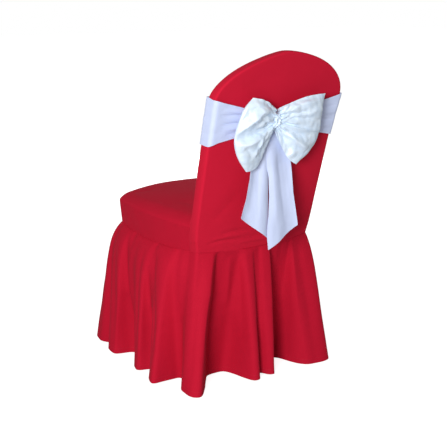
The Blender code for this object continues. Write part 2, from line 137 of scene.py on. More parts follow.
REAR_CREASES = crease_table(
    (4.5, -2.4, (165, 420), (120, 424), (60, 421)),
    (4.5, 2.1, (150, 431), (100, 436), (40, 434)),
    (5.5, -2.1, (130, 444), (85, 449), (30, 446)),
    (4.5, 2, (70, 410), (20, 412), (-50, 408)),
    (5.5, -2.2, (30, 425), (-30, 428), (-95, 421)),
    (5.5, 2, (-60, 440), (-110, 445), (-160, 437)),
    (4.5, -2.2, (-100, 415), (-140, 419), (-178, 412)),
    (18, -1.6, (175, 470), (130, 520), (90, 560)),
    (20, -1.8, (-165, 470), (-120, 530), (-80, 590)),
    (22, -1.5, (-120, 680), (-60, 640), (-20, 560)),
    (20, -1, (130, 850), (40, 868), (-60, 862)),
)


def mix(start, end, share):
    return start + (end - start) * share


def ease(share):
    """A share from 0 to 1 that starts and stops gently."""
    share = min(max(share, 0.0), 1.0)
    return share * share * (3.0 - 2.0 * share)


def read_column(rows, key):
    """The row of a table at this value of its first column, which rises or falls down the table."""
    ordered = sorted(rows)
    key = min(max(key, ordered[0][0]), ordered[-1][0])
    for lower, upper in zip(ordered, ordered[1:]):
        if key <= upper[0]:
            share = (key - lower[0]) / (upper[0] - lower[0])
            return [mix(a, b, share) for a, b in zip(lower, upper)]
    return list(ordered[-1])


def back_y(z):
    """The leaning plane of the back's rear face."""
    return BACK_Y + math.tan(LEAN) * (z - WAIST_Z)


def back_half_width(z, across=1.0):
    """How far the back's edge is from its middle, on the side that this share across it is on."""
    edges = SideEdges(*read_column(BACK_SIDES, z))
    return edges.left if across > 0.0 else edges.right


def arch_height(across):
    """The height of the back's top edge at this share of its half width."""
    power = ARCH_POWER_LEFT if across > 0.0 else ARCH_POWER_RIGHT
    return SHOULDER_Z + (TOP_Z - SHOULDER_Z) * math.sqrt(max(0.0, 1.0 - abs(across) ** power))


def waist_height(x, y):
    """The waist seam dips a little between the corners of the seat."""
    across = max(0.0, 1.0 - (x / WAIST_HALF_WIDTH) ** 2)
    along = max(0.0, 1.0 - (y / BACK_Y) ** 2)
    return WAIST_Z - WAIST_DIP * max(across, along)


class Path:
    """A line through points, which can be read at any distance along it."""

    def __init__(self, points):
        self.points = points
        self.lengths = [0.0, *accumulate((there - here).length for here, there in zip(points, points[1:]))]
        self.length = self.lengths[-1]

    def at(self, distance):
        distance = min(max(distance, 0.0), self.length)
        low = min(bisect_right(self.lengths, distance), len(self.points) - 1) - 1
        share = (distance - self.lengths[low]) / (self.lengths[low + 1] - self.lengths[low])
        return self.points[low].lerp(self.points[low + 1], share)


def back_outline():
    """The outline of the back from its left foot over the arch to its right foot."""
    sides = 48
    left = [mix(WAIST_Z, SHOULDER_Z, i / sides) for i in range(sides)]
    points = [Vector((back_half_width(z, 1.0), z)) for z in left]
    turns = 144
    for i in range(turns + 1):
        across = math.cos(math.pi * i / turns)
        points.append(Vector((across * back_half_width(SHOULDER_Z, across), arch_height(across))))
    points += [Vector((-back_half_width(z, -1.0), z)) for z in reversed(left)]
    return points


BACK_EDGE = Path(back_outline())


def evenly(count):
    return [i / count for i in range(count + 1)]


def close_at_ends(count):
    """Shares from 0 to 1 that lie closer together near both ends."""
    return [0.5 - 0.5 * math.cos(math.pi * i / count) for i in range(count + 1)]


def bend(shape, across, up):
    """A sheet's points, row by row, each bent by its shape from a share across and a share up."""
    return np.array([[tuple(shape(share, rise)) for share in across] for rise in up])


def outward(points, ring=False):
    """The outward direction at each point of a sheet. A ring's last column lies on its first."""
    if ring:
        points = np.concatenate([points[:, -2:-1], points, points[:, 1:2]], axis=1)
    normal = np.cross(np.gradient(points, axis=1), np.gradient(points, axis=0))
    normal /= np.maximum(np.linalg.norm(normal, axis=2, keepdims=True), 1e-12)
    return normal[:, 1:-1] if ring else normal


def raised(points, height, ring=False):
    """The sheet with each point moved outwards by its height."""
    return points + outward(points, ring) * height[..., None]


def run(points, axis):
    """How far each point is along its row, on axis 1, or up its column, on axis 0."""
    steps = np.linalg.norm(np.diff(points, axis=axis), axis=2)
    padding = ((1, 0), (0, 0)) if axis == 0 else ((0, 0), (1, 0))
    return np.pad(np.cumsum(steps, axis=axis), padding)


def turned_under(distance, radius=SEAM_TURN):
    """How deep a rounded edge has turned under at this distance from it."""
    inside = np.clip(1.0 - distance / radius, 0.0, 1.0)
    return radius * (1.0 - np.sqrt(1.0 - inside * inside))


def from_line(across, up, line):
    """Each point's distance from a line on the cloth, and its share of the way along the line."""
    lengths = [math.dist(a, b) for a, b in zip(line, line[1:])]
    nearest = np.full(across.shape, np.inf)
    share = np.zeros(across.shape)
    done = 0.0
    for (a, b), length in zip(zip(line, line[1:]), lengths):
        along_x, along_y = (b[0] - a[0]) / length, (b[1] - a[1]) / length
        t = np.clip((across - a[0]) * along_x + (up - a[1]) * along_y, 0.0, length)
        distance = np.hypot(across - a[0] - t * along_x, up - a[1] - t * along_y)
        closer = distance < nearest
        nearest = np.where(closer, distance, nearest)
        share = np.where(closer, (done + t) / sum(lengths), share)
        done += length
    return nearest, share


def creased(across, up, creases):
    """The height that creases give a sheet. Each one rises and dies away gently along its line."""
    height = np.zeros(across.shape)
    for crease in creases:
        distance, share = from_line(across, up, crease.line)
        fade = np.sin(np.pi * np.clip(share, 0.0, 1.0)) ** CREASE_FADE
        height += crease.height * np.exp(-((distance / crease.width) ** CREASE_ROUNDING)) * fade
    return height


def uneven(points, ripple):
    """The height that a ripple gives a sheet."""
    flat = (points * ripple.scale).reshape(-1, 3) / ripple.size + ripple.seed
    return ripple.height * np.array([noise.noise(Vector(p)) for p in flat]).reshape(points.shape[:2])


def relief(points, creases, ripple, up=2):
    """The height that creases and a ripple give a sheet, whose creases are drawn on x and this axis."""
    return creased(points[..., 0], points[..., up], creases) + uneven(points, ripple)


def rear_panel(share, up):
    across = math.sin(math.pi * (0.5 - share))
    foot = waist_height(across * WAIST_HALF_WIDTH, BACK_Y) + SEAM_GAP
    z = mix(foot, arch_height(across), up)
    crown = (1.0 - across * across) * math.sin(math.pi * up) * BACK_CROWN
    bulge = (1.0 - across * across) * (1.0 - up) ** 2 * REAR_WAIST_BULGE
    return across * back_half_width(z, across), back_y(z) + crown + bulge, z


def rounded_back_edge(points, radius):
    """How far back from its plane a panel has turned near the outline of the back."""
    outline = [tuple(p) for p in BACK_EDGE.points]
    distance, _ = from_line(points[..., 0], points[..., 2], outline)
    return turned_under(distance, radius)


def build_rear_panel():
    points = bend(rear_panel, evenly(REAR_COLUMNS), close_at_ends(REAR_ROWS))
    points[..., 1] -= rounded_back_edge(points, BACK_ROUND) / math.cos(LEAN)
    return raised(points, relief(points, REAR_CREASES, REAR_RIPPLE) - turned_under(run(points, 0)))


# The cover's shapes are worked out from the middle of the seat, so each piece is shifted to the frame.
rear_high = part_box("back_rear_panel")[1]
SEAT_MIDDLE = np.array((rear_high.x - SHOULDER_LEFT, rear_high.y - back_y(TOP_Z), 0.0))


def new_object(name, data):
    made = bpy.data.objects.new(name, data)
    bpy.context.scene.collection.objects.link(made)
    return made


def as_plain_mesh(piece):
    """Turns what a piece's modifiers make into its own smooth mesh, and takes them off."""
    mesh = bpy.data.meshes.new_from_object(piece.evaluated_get(bpy.context.evaluated_depsgraph_get()))
    piece.modifiers.clear()
    piece.data = mesh
    mesh.shade_smooth()


def cloth_piece(name, points, thickness, side, material, ring=False, length_up=False):
    """A closed piece of cloth from its rows of points, with a UV map in metres of cloth.

    Its thickness goes inwards, at side -1, or both ways, at side 0. V runs along the cloth's length.
    """
    rows, columns = points.shape[0] - 1, points.shape[1] - 1
    wide = columns if ring else columns + 1
    corners = [(r, c) for r in range(rows) for c in range(columns)]
    quads = [
        [r * wide + c, r * wide + (c + 1) % wide, (r + 1) * wide + (c + 1) % wide, (r + 1) * wide + c]
        for r, c in corners
    ]
    mesh = bpy.data.meshes.new(name)
    mesh.from_pydata((points[:, :wide] + SEAT_MIDDLE).reshape(-1, 3), [], quads)
    u, v = run(points, 1), run(points, 0)
    grid = np.stack([v, u] if length_up else [u, v], axis=2)
    around = [[grid[r, c], grid[r, c + 1], grid[r + 1, c + 1], grid[r + 1, c]] for r, c in corners]
    mesh.uv_layers.new(name="cloth").data.foreach_set("uv", np.array(around).ravel())
    mesh.materials.append(material)
    sheet = new_object(name, mesh)
    solid = sheet.modifiers.new("thickness", "SOLIDIFY")
    solid.thickness = thickness
    solid.offset = side
    as_plain_mesh(sheet)
    sheet.data.set_sharp_from_angle(angle=SHARP_FOLD)
    return sheet


def fill(tree, node, inputs):
    """Gives a node's inputs numbers, colours or the outputs of other nodes."""
    for name, value in inputs.items():
        if isinstance(value, bpy.types.NodeSocket):
            tree.links.new(value, node.inputs[name])
        else:
            node.inputs[name].default_value = value
    return node


def add_node(tree, kind, inputs, **settings):
    node = tree.nodes.new(kind)
    for name, value in settings.items():
        setattr(node, name, value)
    return fill(tree, node, inputs)


def math_node(tree, operation, *inputs):
    return add_node(tree, "ShaderNodeMath", dict(enumerate(inputs)), operation=operation).outputs[0]


def new_group(name, kind, inputs, outputs):
    """A node group with inputs and outputs of these kinds, what it is given, and its last node."""
    tree = bpy.data.node_groups.new(name, kind)
    for way, sockets in (("INPUT", inputs), ("OUTPUT", outputs)):
        for socket, holds in sockets.items():
            tree.interface.new_socket(socket, in_out=way, socket_type=f"NodeSocket{holds}")
    return tree, tree.nodes.new("NodeGroupInput").outputs, tree.nodes.new("NodeGroupOutput")


def cloth_weave():
    """Crossing threads as a height, and fine and slow changes of shade, from a UV map in metres."""
    sizes = ("Threads per metre", "Slubs per thread", "Slub length", "Mottle scale")
    shades = ("Height", "Slubs", "Mottle")
    tree, given, end = new_group(
        "cloth_weave",
        "ShaderNodeTree",
        {"Cloth": "Vector", **dict.fromkeys(sizes, "Float")},
        dict.fromkeys(shades, "Float"),
    )
    split = add_node(tree, "ShaderNodeSeparateXYZ", {"Vector": given["Cloth"]}).outputs
    threads = [math_node(tree, "MULTIPLY", split[axis], given["Threads per metre"]) for axis in "XY"]
    waves = [math_node(tree, "SINE", math_node(tree, "MULTIPLY", turns, math.pi)) for turns in threads]
    slub = {
        "X": math_node(tree, "MULTIPLY", threads[0], given["Slubs per thread"]),
        "Y": math_node(tree, "DIVIDE", split["Y"], given["Slub length"]),
    }
    stretched = add_node(tree, "ShaderNodeCombineXYZ", slub).outputs[0]
    values = [math_node(tree, "ABSOLUTE", math_node(tree, "MULTIPLY", *waves))]
    for place, scale in ((stretched, 1.0), (given["Cloth"], given["Mottle scale"])):
        cloud = {"Vector": place, "Scale": scale, "Detail": 3.0}
        values.append(add_node(tree, "ShaderNodeTexNoise", cloud).outputs["Fac"])
    fill(tree, end, dict(zip(shades, values)))
    return tree


CLOTH_WEAVE = cloth_weave()


def shade_between(tree, deep, light, factor):
    blend = {"A": (*deep, 1.0), "B": (*light, 1.0), "Factor": factor}
    return add_node(tree, "ShaderNodeMix", blend, data_type="RGBA").outputs["Result"]


def new_material(name):
    """A material, its node tree and its principled shader."""
    material = bpy.data.materials.new(name)
    material.use_nodes = True
    return material, material.node_tree, material.node_tree.nodes["Principled BSDF"]


def woven_cloth(name, deep, light, weave, rough, bumps, finish):
    """A cloth in shades between two colours.

    Weave is the values of the weave group. Rough is the least roughness, and how much the slubs add to it.
    Bumps are outputs of the weave, each with its height in metres and its strength. Finish is the values
    of the shader's own inputs.
    """
    material, tree, shader = new_material(name)
    uv = add_node(tree, "ShaderNodeUVMap", {}, uv_map="cloth").outputs["UV"]
    woven = add_node(tree, "ShaderNodeGroup", {"Cloth": uv, **weave}, node_tree=CLOTH_WEAVE).outputs
    shade = math_node(tree, "DIVIDE", math_node(tree, "ADD", woven["Slubs"], woven["Mottle"]), 2.0)
    least, added = rough
    roughness = math_node(tree, "ADD", math_node(tree, "MULTIPLY", woven["Slubs"], added), least)
    normal = {}
    for output, distance, strength in bumps:
        bump = {"Height": woven[output], "Distance": distance, "Strength": strength, **normal}
        normal = {"Normal": add_node(tree, "ShaderNodeBump", bump).outputs["Normal"]}
    colour = shade_between(tree, deep, light, shade)
    fill(tree, shader, {"Base Color": colour, "Roughness": roughness, **normal, **finish})
    return material


# The polyester's plain weave, and its dull finish
PLAIN_WEAVE = {
    "Threads per metre": 1300.0,
    "Slubs per thread": 0.5,
    "Slub length": 0.012,
    "Mottle scale": 22.0,
}
POLYESTER_ROUGH = (0.66, 0.20)
POLYESTER_BUMPS = (("Mottle", 0.0012, 0.5), ("Height", 0.00012, 0.5))
POLYESTER_FINISH = {
    "Specular IOR Level": 0.06,
    "Sheen Weight": 0.03,
    "Sheen Roughness": 0.45,
    "Sheen Tint": (1.0, 0.30, 0.38, 1.0),
}


def polyester(name, deep, light):
    return woven_cloth(name, deep, light, PLAIN_WEAVE, POLYESTER_ROUGH, POLYESTER_BUMPS, POLYESTER_FINISH)


# The back's rear panel, side strip and front panel wear the lighter copy of the crimson, as painted light.
LIT_POLYESTER = polyester("lit_polyester", LIT_CRIMSON_DEEP, LIT_CRIMSON)

INWARDS, BOTH_WAYS = -1.0, 0.0
rear = cloth_piece("rear_panel", build_rear_panel(), CLOTH_THICKNESS, INWARDS, LIT_POLYESTER)
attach(rear, "root")
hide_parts("back_rear_panel")

# ---- Side strip of the back ----
# A narrow strip of the same polyester up one side of the back, over its arch and down the other. It joins
# the rear and front panels, and its two seams lie just round the corners of the chair's back.

STRIP_CROWN = 0.0010
STRIP_JOIN_Z = 0.480
STRIP_JOIN_FADE = 0.020
STRIP_FOOT = 0.040
STRIP_COLUMNS = 300
STRIP_ROWS = 22
STRIP_RIPPLE = Ripple(0.0006, 0.05, 11.0)


def front_round(z):
    """The radius that the front panel turns round the back by, which fades out down at the seat."""
    return BACK_ROUND * ease((z - STRIP_JOIN_Z) / STRIP_JOIN_FADE)


def side_strip(share, forward):
    x, z = BACK_EDGE.at(share * BACK_EDGE.length)
    rear_inset = BACK_ROUND / math.cos(LEAN) + SEAM_GAP
    front_inset = front_round(z) / math.cos(LEAN) + SEAM_GAP
    y = back_y(z) - mix(rear_inset, BACK_DEPTH - front_inset, forward)
    dip = (WAIST_Z - waist_height(x, y)) * (1.0 - ease((z - WAIST_Z) / STRIP_FOOT))
    return x, y, z - dip


def build_side_strip():
    points = bend(side_strip, evenly(STRIP_COLUMNS), close_at_ends(STRIP_ROWS))
    from_rear = run(points, 0)
    from_front = from_rear[-1] - from_rear
    crown = np.sin(np.pi * from_rear / from_rear[-1])
    height = STRIP_CROWN * crown + uneven(points, STRIP_RIPPLE)
    return raised(points, height - turned_under(from_rear) - turned_under(from_front))


strip = cloth_piece("side_strip", build_side_strip(), CLOTH_THICKNESS, INWARDS, LIT_POLYESTER)
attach(strip, "root")
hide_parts("back_side_strip")

# ---- Front panel of the back ----
# The panel that the sitter leans on, in the same polyester. It turns round the back as the rear panel
# does, and its foot meets the seat.

SEAT_SEAM_Z = 0.466
SEAT_ROLL = 0.017
ROLL_WIDTH = 0.036
SEAT_CROWN = 0.031
CROWN_REAR = 0.3
CROWN_FRONT = 0.8
CROWN_POWER = 2.5
LEAST_ROUND = 0.000001
FRONT_COLUMNS = 100
FRONT_ROWS = 100
FRONT_RIPPLE = Ripple(0.0008, 0.09, 17.0)
FRONT_CREASES = crease_table(
    (20, -2, (150, 500), (90, 545), (50, 600)),
    (20, -2, (-150, 500), (-90, 550), (-55, 610)),
    (6, 1.4, (100, 508), (0, 514), (-100, 508)),
    (6, -1.4, (60, 521), (-10, 527), (-80, 521)),
    (20, -1.2, (120, 860), (0, 885), (-120, 862)),
)


def rolled_edge(distance):
    """How far up its quarter-round roll the seat panel is at this distance from its edge."""
    inside = 1.0 - min(max(distance / ROLL_WIDTH, 0.0), 1.0)
    return math.sqrt(1.0 - inside * inside)


def seat_height(across, roll, along):
    """The height of the seat panel at a share across it, on its roll, and a share along it to the front."""
    crown = (1.0 - abs(across) ** CROWN_POWER) * math.sin(math.pi * mix(CROWN_REAR, CROWN_FRONT, along))
    return SEAT_SEAM_Z + roll * (SEAT_ROLL + SEAT_CROWN * crown)


def seat_rear_height(x):
    """The height of the seat panel where it meets the back."""
    half = back_half_width(SEAT_SEAM_Z, x)
    across = min(abs(x) / half, 1.0)
    return seat_height(across, rolled_edge((1.0 - across) * half), 0.0)


def front_panel(share, up):
    across = -math.sin(math.pi * (0.5 - share))
    foot = seat_rear_height(across * back_half_width(SEAT_SEAM_Z, across)) + SEAM_GAP
    z = mix(foot, arch_height(across), up)
    crown = (1.0 - across * across) * math.sin(math.pi * up) * BACK_CROWN
    return across * back_half_width(z, across), back_y(z) - BACK_DEPTH - crown, z


def build_front_panel():
    points = bend(front_panel, evenly(FRONT_COLUMNS), close_at_ends(FRONT_ROWS))
    rounds = np.vectorize(front_round)(points[..., 2])
    points[..., 1] += rounded_back_edge(points, np.maximum(rounds, LEAST_ROUND)) / math.cos(LEAN)
    return raised(points, relief(points, FRONT_CREASES, FRONT_RIPPLE) - turned_under(run(points, 0)))


front = cloth_piece("front_panel", build_front_panel(), CLOTH_THICKNESS, INWARDS, LIT_POLYESTER)
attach(front, "root")
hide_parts("back_front_panel")

# ---- Seat top ----
# The seat's crowned top, cut from one piece of the same polyester. It is stretched over the cushion, rolls
# over the cushion's front and sides, and dimples a little where it runs under the back.

FRONT_Y = -0.236
FRONT_HALF_WIDTH = 0.213
FRONT_CORNER = 0.042
SIDE_BULGE = 0.014
FRONT_BULGE = 0.012
# The darker copy of the same crimson, which is painted shade on the seat top, the seat band and the skirt.
SHADED_CRIMSON = (0.500, 0.0078, 0.0300)
SHADED_CRIMSON_DEEP = (0.455, 0.0064, 0.0250)
SEAT_COLUMNS = 110
SEAT_ROWS = 90
SEAT_RIPPLE = Ripple(0.0009, 0.10, 23.0)
SEAT_CREASES = crease_table(
    (14, -2, (150, 140), (135, 80), (140, 20)),
    (14, -2, (-150, 140), (-130, 80), (-140, 20)),
    (12, -1.6, (60, 160), (40, 120), (45, 70)),
    (12, -1.6, (-50, 160), (-60, 110), (-40, 60)),
    (12, -1.4, (185, -190), (150, -160), (100, -140)),
    (12, -1.4, (-185, -190), (-150, -160), (-100, -140)),
)


def seat_panel(share, rearward):
    """The top of the seat from its front seam back to the chair's back."""
    across = -math.sin(math.pi * (0.5 - share))
    along = math.sin(0.5 * math.pi * (1.0 - rearward))
    half = back_half_width(SEAT_SEAM_Z, across)
    rear_y = back_y(seat_rear_height(across * half)) - BACK_DEPTH
    y = mix(rear_y, FRONT_Y, along)
    side = min(along / (1.0 - FRONT_CORNER / (rear_y - FRONT_Y)), 1.0)
    width = mix(half, FRONT_HALF_WIDTH, along) + SIDE_BULGE * 4.0 * side * (1.0 - side)
    before_corner = min(max(y - FRONT_Y, 0.0), FRONT_CORNER)
    width -= (math.sqrt(FRONT_CORNER) - math.sqrt(before_corner)) ** 2
    roll = rolled_edge((1.0 - abs(across)) * width) * rolled_edge(y - FRONT_Y)
    y -= FRONT_BULGE * (1.0 - across * across) * along**4
    return across * width, y, seat_height(across, roll, along)


def build_seat_panel():
    points = bend(seat_panel, evenly(SEAT_COLUMNS), evenly(SEAT_ROWS))
    return raised(points, relief(points, SEAT_CREASES, SEAT_RIPPLE, up=1))


# The seat top, its band and the skirt wear the darker copy of the crimson, as painted shade.
SHADED_POLYESTER = polyester("shaded_polyester", SHADED_CRIMSON_DEEP, SHADED_CRIMSON)
seat = cloth_piece("seat_panel_cloth", build_seat_panel(), CLOTH_THICKNESS, INWARDS, SHADED_POLYESTER)
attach(seat, "root")
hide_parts("seat_panel")

# ---- Seat band ----
# The upright band round the cushion's sides and front, in the same polyester, sewn to the seat top above
# and to the skirt below.

WAIST_INSET = 0.004
SLACK_RIPPLE = Ripple(0.0009, 0.035, 31.0, (1.0, 1.0, 0.5))
BAND_COLUMNS = 300
BAND_ROWS = 30
SIDE_STEPS = 48
FRONT_STEPS = 42
CORNER_STEPS = 16


def bulged_side(start, end, bulge, steps):
    """Points along a side that bows outwards, which is to the right of its direction."""
    direction = (end - start).normalized()
    sideways = Vector((direction.y, -direction.x))
    shares = [i / steps for i in range(steps)]
    return [start.lerp(end, share) + sideways * (bulge * 4.0 * share * (1.0 - share)) for share in shares]


def rounded_corner(start, corner, end, steps):
    shares = [i / steps for i in range(steps)]
    return [start.lerp(corner, share).lerp(corner.lerp(end, share), share) for share in shares]


def seat_outline(z, inset=0.0):
    """The line round the seat at this height, from the back's right edge by the front to its left edge."""
    rear_y = back_y(z) - BACK_DEPTH + SEAM_GAP
    far = FRONT_HALF_WIDTH - inset
    front_y = FRONT_Y + inset
    right, left = -back_half_width(z, -1.0), back_half_width(z, 1.0)
    corners = [Vector(c) for c in ((right, rear_y), (-far, front_y), (far, front_y), (left, rear_y))]
    down = (corners[1] - corners[0]).normalized() * FRONT_CORNER
    across = Vector((FRONT_CORNER, 0.0))
    up = (corners[3] - corners[2]).normalized() * FRONT_CORNER
    right_end, front_start = corners[1] - down, corners[1] + across
    front_end, left_start = corners[2] - across, corners[2] + up
    return (
        bulged_side(corners[0], right_end, SIDE_BULGE, SIDE_STEPS)
        + rounded_corner(right_end, corners[1], front_start, CORNER_STEPS)
        + bulged_side(front_start, front_end, FRONT_BULGE, FRONT_STEPS)
        + rounded_corner(front_end, corners[2], left_start, CORNER_STEPS)
        + bulged_side(left_start, corners[3], SIDE_BULGE, SIDE_STEPS)
        + [corners[3]]
    )


SEAT_EDGE = Path(seat_outline(SEAT_SEAM_Z))
SEAT_FOOT = Path(seat_outline(WAIST_Z, WAIST_INSET))


def seat_band(share, up):
    foot = SEAT_FOOT.at(share * SEAT_FOOT.length)
    edge = SEAT_EDGE.at(share * SEAT_EDGE.length)
    flat = foot.lerp(edge, up)
    return flat.x, flat.y, mix(waist_height(foot.x, foot.y) + SEAM_GAP, SEAT_SEAM_Z - SEAM_GAP, up)


def build_seat_band():
    points = bend(seat_band, evenly(BAND_COLUMNS), close_at_ends(BAND_ROWS))
    from_foot = run(points, 0)
    from_top = from_foot[-1] - from_foot
    slack = uneven(points, SLACK_RIPPLE)
    return raised(points, slack - turned_under(from_foot) - turned_under(from_top))


# The band wears the darker copy of the crimson, as painted shade.
band = cloth_piece("seat_band_cloth", build_seat_band(), CLOTH_THICKNESS, INWARDS, SHADED_POLYESTER)
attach(band, "root")
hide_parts("seat_band")

# ---- Skirt ----
# A full skirt of the same polyester, cut flared and eased into the waist seam, so that it hangs in deep
# rounded flutes. It springs out over the cushion's edge, and its hem just clears the floor.

REAR_CORNER = 0.012
CHORD_HALF = 0.07
PUFF = 0.036
PUFF_DROP = 0.10
PUFF_REACH = 0.12
CORNER_PUFF = 0.42
CORNER_PUFF_X = 0.13
HEM_LOW = 0.001
HEM_LIFT = 0.004
HEM_WAVES = 5
HEM_ROUND = 0.010
BROAD_ROUND = 0.026
BROAD_STATIONS = (0.905, 0.935, 0.980, 1.020, 1.044)
BROAD_SHARES = (0.0, 1.0, 1.0, 0.5, 0.0)
SLOW_ROUND = 0.090
SEAM_TUCK = 0.0020
TUCK_DEPTH = 0.0012
TUCK_REACH = 0.0045
SKIRT_COLUMNS = 740
SKIRT_ROWS = 52
ROW_CROWDING = 1.5
HEM_SAMPLES = 2400
REAR_STEPS = 60
REAR_CORNER_STEPS = 12
SKIRT_RIPPLE = Ripple(0.0012, 0.030, 41.0, (1.0, 1.0, 0.35))
RIPPLE_START = 0.05

# Each flute has a crest, which runs from one station of the waist seam to another and stands so far out at
# the hem, and then a dip. Rise is under 1 where it deepens soon below the seam. Stations run from the
# middle of the front, by the sitter's left.
Flute = namedtuple("Flute", "crest_from crest_to out_from out_to dip_from dip_to dip_out rise")
FLUTES = rows_of(
    Flute,
    (0.022, 0.050, 0.068, 0.072, 0.080, 0.088, 0.014, 0.80),
    (0.108, 0.136, 0.070, 0.076, 0.152, 0.158, 0.034, 0.80),
    (0.182, 0.208, 0.115, 0.085, 0.222, 0.228, 0.044, 0.95),
    (0.242, 0.280, 0.069, 0.069, 0.300, 0.345, 0.010, 0.95),
    (0.386, 0.420, 0.057, 0.069, 0.440, 0.450, 0.028, 1.00),
    (0.482, 0.518, 0.074, 0.090, 0.538, 0.552, 0.000, 1.15),
    (0.590, 0.631, 0.058, 0.072, 0.646, 0.722, -0.064, 0.66),
    (0.776, 0.791, 0.046, 0.044, 0.808, 0.813, 0.006, 0.75),
    (0.828, 0.846, 0.034, 0.040, 0.866, 0.931, -0.070, 0.62),
    (0.943, 1.003, 0.048, 0.092, 1.024, 1.034, 0.018, 1.00),
    (1.050, 1.078, 0.074, 0.080, 1.100, 1.110, 0.014, 1.00),
    (1.138, 1.164, 0.078, 0.072, 1.192, 1.206, 0.008, 0.80),
    (1.232, 1.260, 0.076, 0.082, 1.284, 1.294, 0.022, 0.80),
    (1.318, 1.342, 0.072, 0.068, 1.358, 1.364, 0.032, 0.80),
    (1.384, 1.424, 0.086, 0.096, 1.448, 1.460, 0.016, 0.80),
    (1.494, 1.522, 0.072, 0.076, 1.552, 1.574, 0.012, 0.80),
)

# How much further round the cloth's top lies than its foot, at these stations of the hem
LEAN_STATIONS = (0.480, 0.560, 0.600, 0.632, 0.650, 0.722, 0.770, 0.800, 0.850, 0.943, 1.000)
LEANS = (0.000, 0.004, 0.018, 0.030, 0.036, 0.012, -0.004, -0.011, -0.006, -0.006, 0.000)

# In each dip the cloth is pinched in just below the seam: how deep, how wide, how far down, and from where
PINCH_DEPTH = 0.0024
PINCH_WIDTH = 0.0090
PINCH_DROP = 0.070
PINCH_START = 0.006

# Long soft furrows and swells between the seam and the hem, as a station and a distance below the seam
SKIRT_CREASES = crease_table(
    (15, -7.5, (958, 20), (966, 200), (970, 420)),
    (12, -5, (250, 60), (262, 200), (266, 400)),
    (14, 5, (330, 40), (318, 160), (326, 360)),
    (10, -4.5, (404, 30), (398, 160), (402, 380)),
    (12, -8, (300, 30), (302, 180), (304, 390)),
    (28, -14, (300, 200), (303, 300), (304, 420)),
    (11, -10, (432, 80), (438, 220), (446, 370)),
    (20, -12, (442, 200), (447, 280), (450, 400)),
    (14, -7, (455, 30), (474, 140), (502, 330)),
    (13, 4, (560, 20), (556, 120), (560, 220)),
    (10, -3.5, (612, 50), (606, 200), (610, 380)),
    (16, -7, (632, 120), (640, 220), (648, 400)),
    (15, 6, (700, 20), (704, 100), (710, 180)),
    (28, -9, (722, 200), (736, 300), (740, 400)),
    (11, -5, (735, 10), (748, 120), (752, 300)),
    (8, -8, (804, 200), (811, 300), (813, 400)),
    (12, -8, (930, 200), (934, 300), (938, 420)),
    (12, -5, (1030, 20), (1020, 200), (1016, 400)),
    (12, -5, (1220, 30), (1240, 200), (1246, 400)),
    (12, -5, (1400, 30), (1410, 200), (1404, 400)),
)


def waist_outline():
    """The closed waist seam, from the middle of the front by the sitter's left, as seen from above."""
    outline = seat_outline(WAIST_Z, WAIST_INSET)
    middle = len(outline) // 2
    left_corner = Vector((WAIST_HALF_WIDTH, BACK_Y))
    right_corner = Vector((-WAIST_HALF_WIDTH, BACK_Y))
    inwards = Vector((REAR_CORNER, 0.0))
    forwards = Vector((0.0, -REAR_CORNER))
    left_end, right_end = left_corner - inwards, right_corner + inwards
    return (
        outline[middle:]
        + rounded_corner(left_corner + forwards, left_corner, left_end, REAR_CORNER_STEPS)
        + bulged_side(left_end, right_end, REAR_WAIST_BULGE, REAR_STEPS)
        + rounded_corner(right_end, right_corner, right_corner + forwards, REAR_CORNER_STEPS)
        + [right_corner + forwards]
        + outline[: middle + 1]
    )


WAIST = Path(waist_outline())


def waist_point(station):
    return WAIST.at(station % WAIST.length)


def waist_outward(station):
    """The direction away from the seat, which turns gradually round the corners."""
    chord = waist_point(station + CHORD_HALF) - waist_point(station - CHORD_HALF)
    return Vector((chord.y, -chord.x)).normalized()


def flute_ends():
    """The station and the distance out at both ends of each crest and dip, carried on past the start."""
    ends = []
    for flute in FLUTES:
        ends += [(flute.crest_from, flute.out_from), (flute.crest_to, flute.out_to)]
        ends += [(flute.dip_from, flute.dip_out), (flute.dip_to, flute.dip_out)]
    first, last = ends[0], ends[-1]
    return [(last[0] - WAIST.length, last[1])] + ends + [(first[0] + WAIST.length, first[1])]


FLUTE_ENDS = flute_ends()


def flute_out(station):
    """How far the hem stands outside the waist seam below this station."""
    for (low, out_low), (high, out_high) in zip(FLUTE_ENDS, FLUTE_ENDS[1:]):
        if station <= high:
            return mix(out_low, out_high, ease((station - low) / (high - low)))
    return FLUTE_ENDS[-1][1]


def hem_point(station):
    return waist_point(station) + waist_outward(station) * flute_out(station)


def hem_stations():
    """The stations of the skirt's columns, spaced so that the cloth between them is equal along the hem."""
    stations = [WAIST.length * i / HEM_SAMPLES for i in range(HEM_SAMPLES + 1)]
    hem = Path([hem_point(s) for s in stations])
    return np.interp(np.linspace(0.0, hem.length, SKIRT_COLUMNS + 1), hem.lengths, stations)[:-1]


def smoothed(line, reach):
    """A closed line of evenly spaced points with its turns rounded over about this length."""
    step = np.linalg.norm(np.roll(line, -1, axis=0) - line, axis=1).mean()
    keep = np.exp(-2.0 * (math.pi * np.fft.fftfreq(len(line)) * reach / step) ** 2)
    return np.fft.ifft(np.fft.fft(line, axis=0) * keep[:, None], axis=0).real


def puff_at(point):
    """The skirt springs out from its seam round the sides and front, less so at the right rear corner."""
    side = ease((BACK_Y - point.y) / PUFF_REACH)
    corner = CORNER_PUFF * ease((-point.x - CORNER_PUFF_X) / (WAIST_HALF_WIDTH - CORNER_PUFF_X))
    return PUFF * max(side, corner)


def flute_rise(stations):
    """How soon the flutes deepen below the seam, which changes gradually round the skirt."""
    middles = [0.5 * (flute.crest_from + flute.dip_to) for flute in FLUTES]
    return np.interp(stations, middles, [flute.rise for flute in FLUTES], period=WAIST.length)


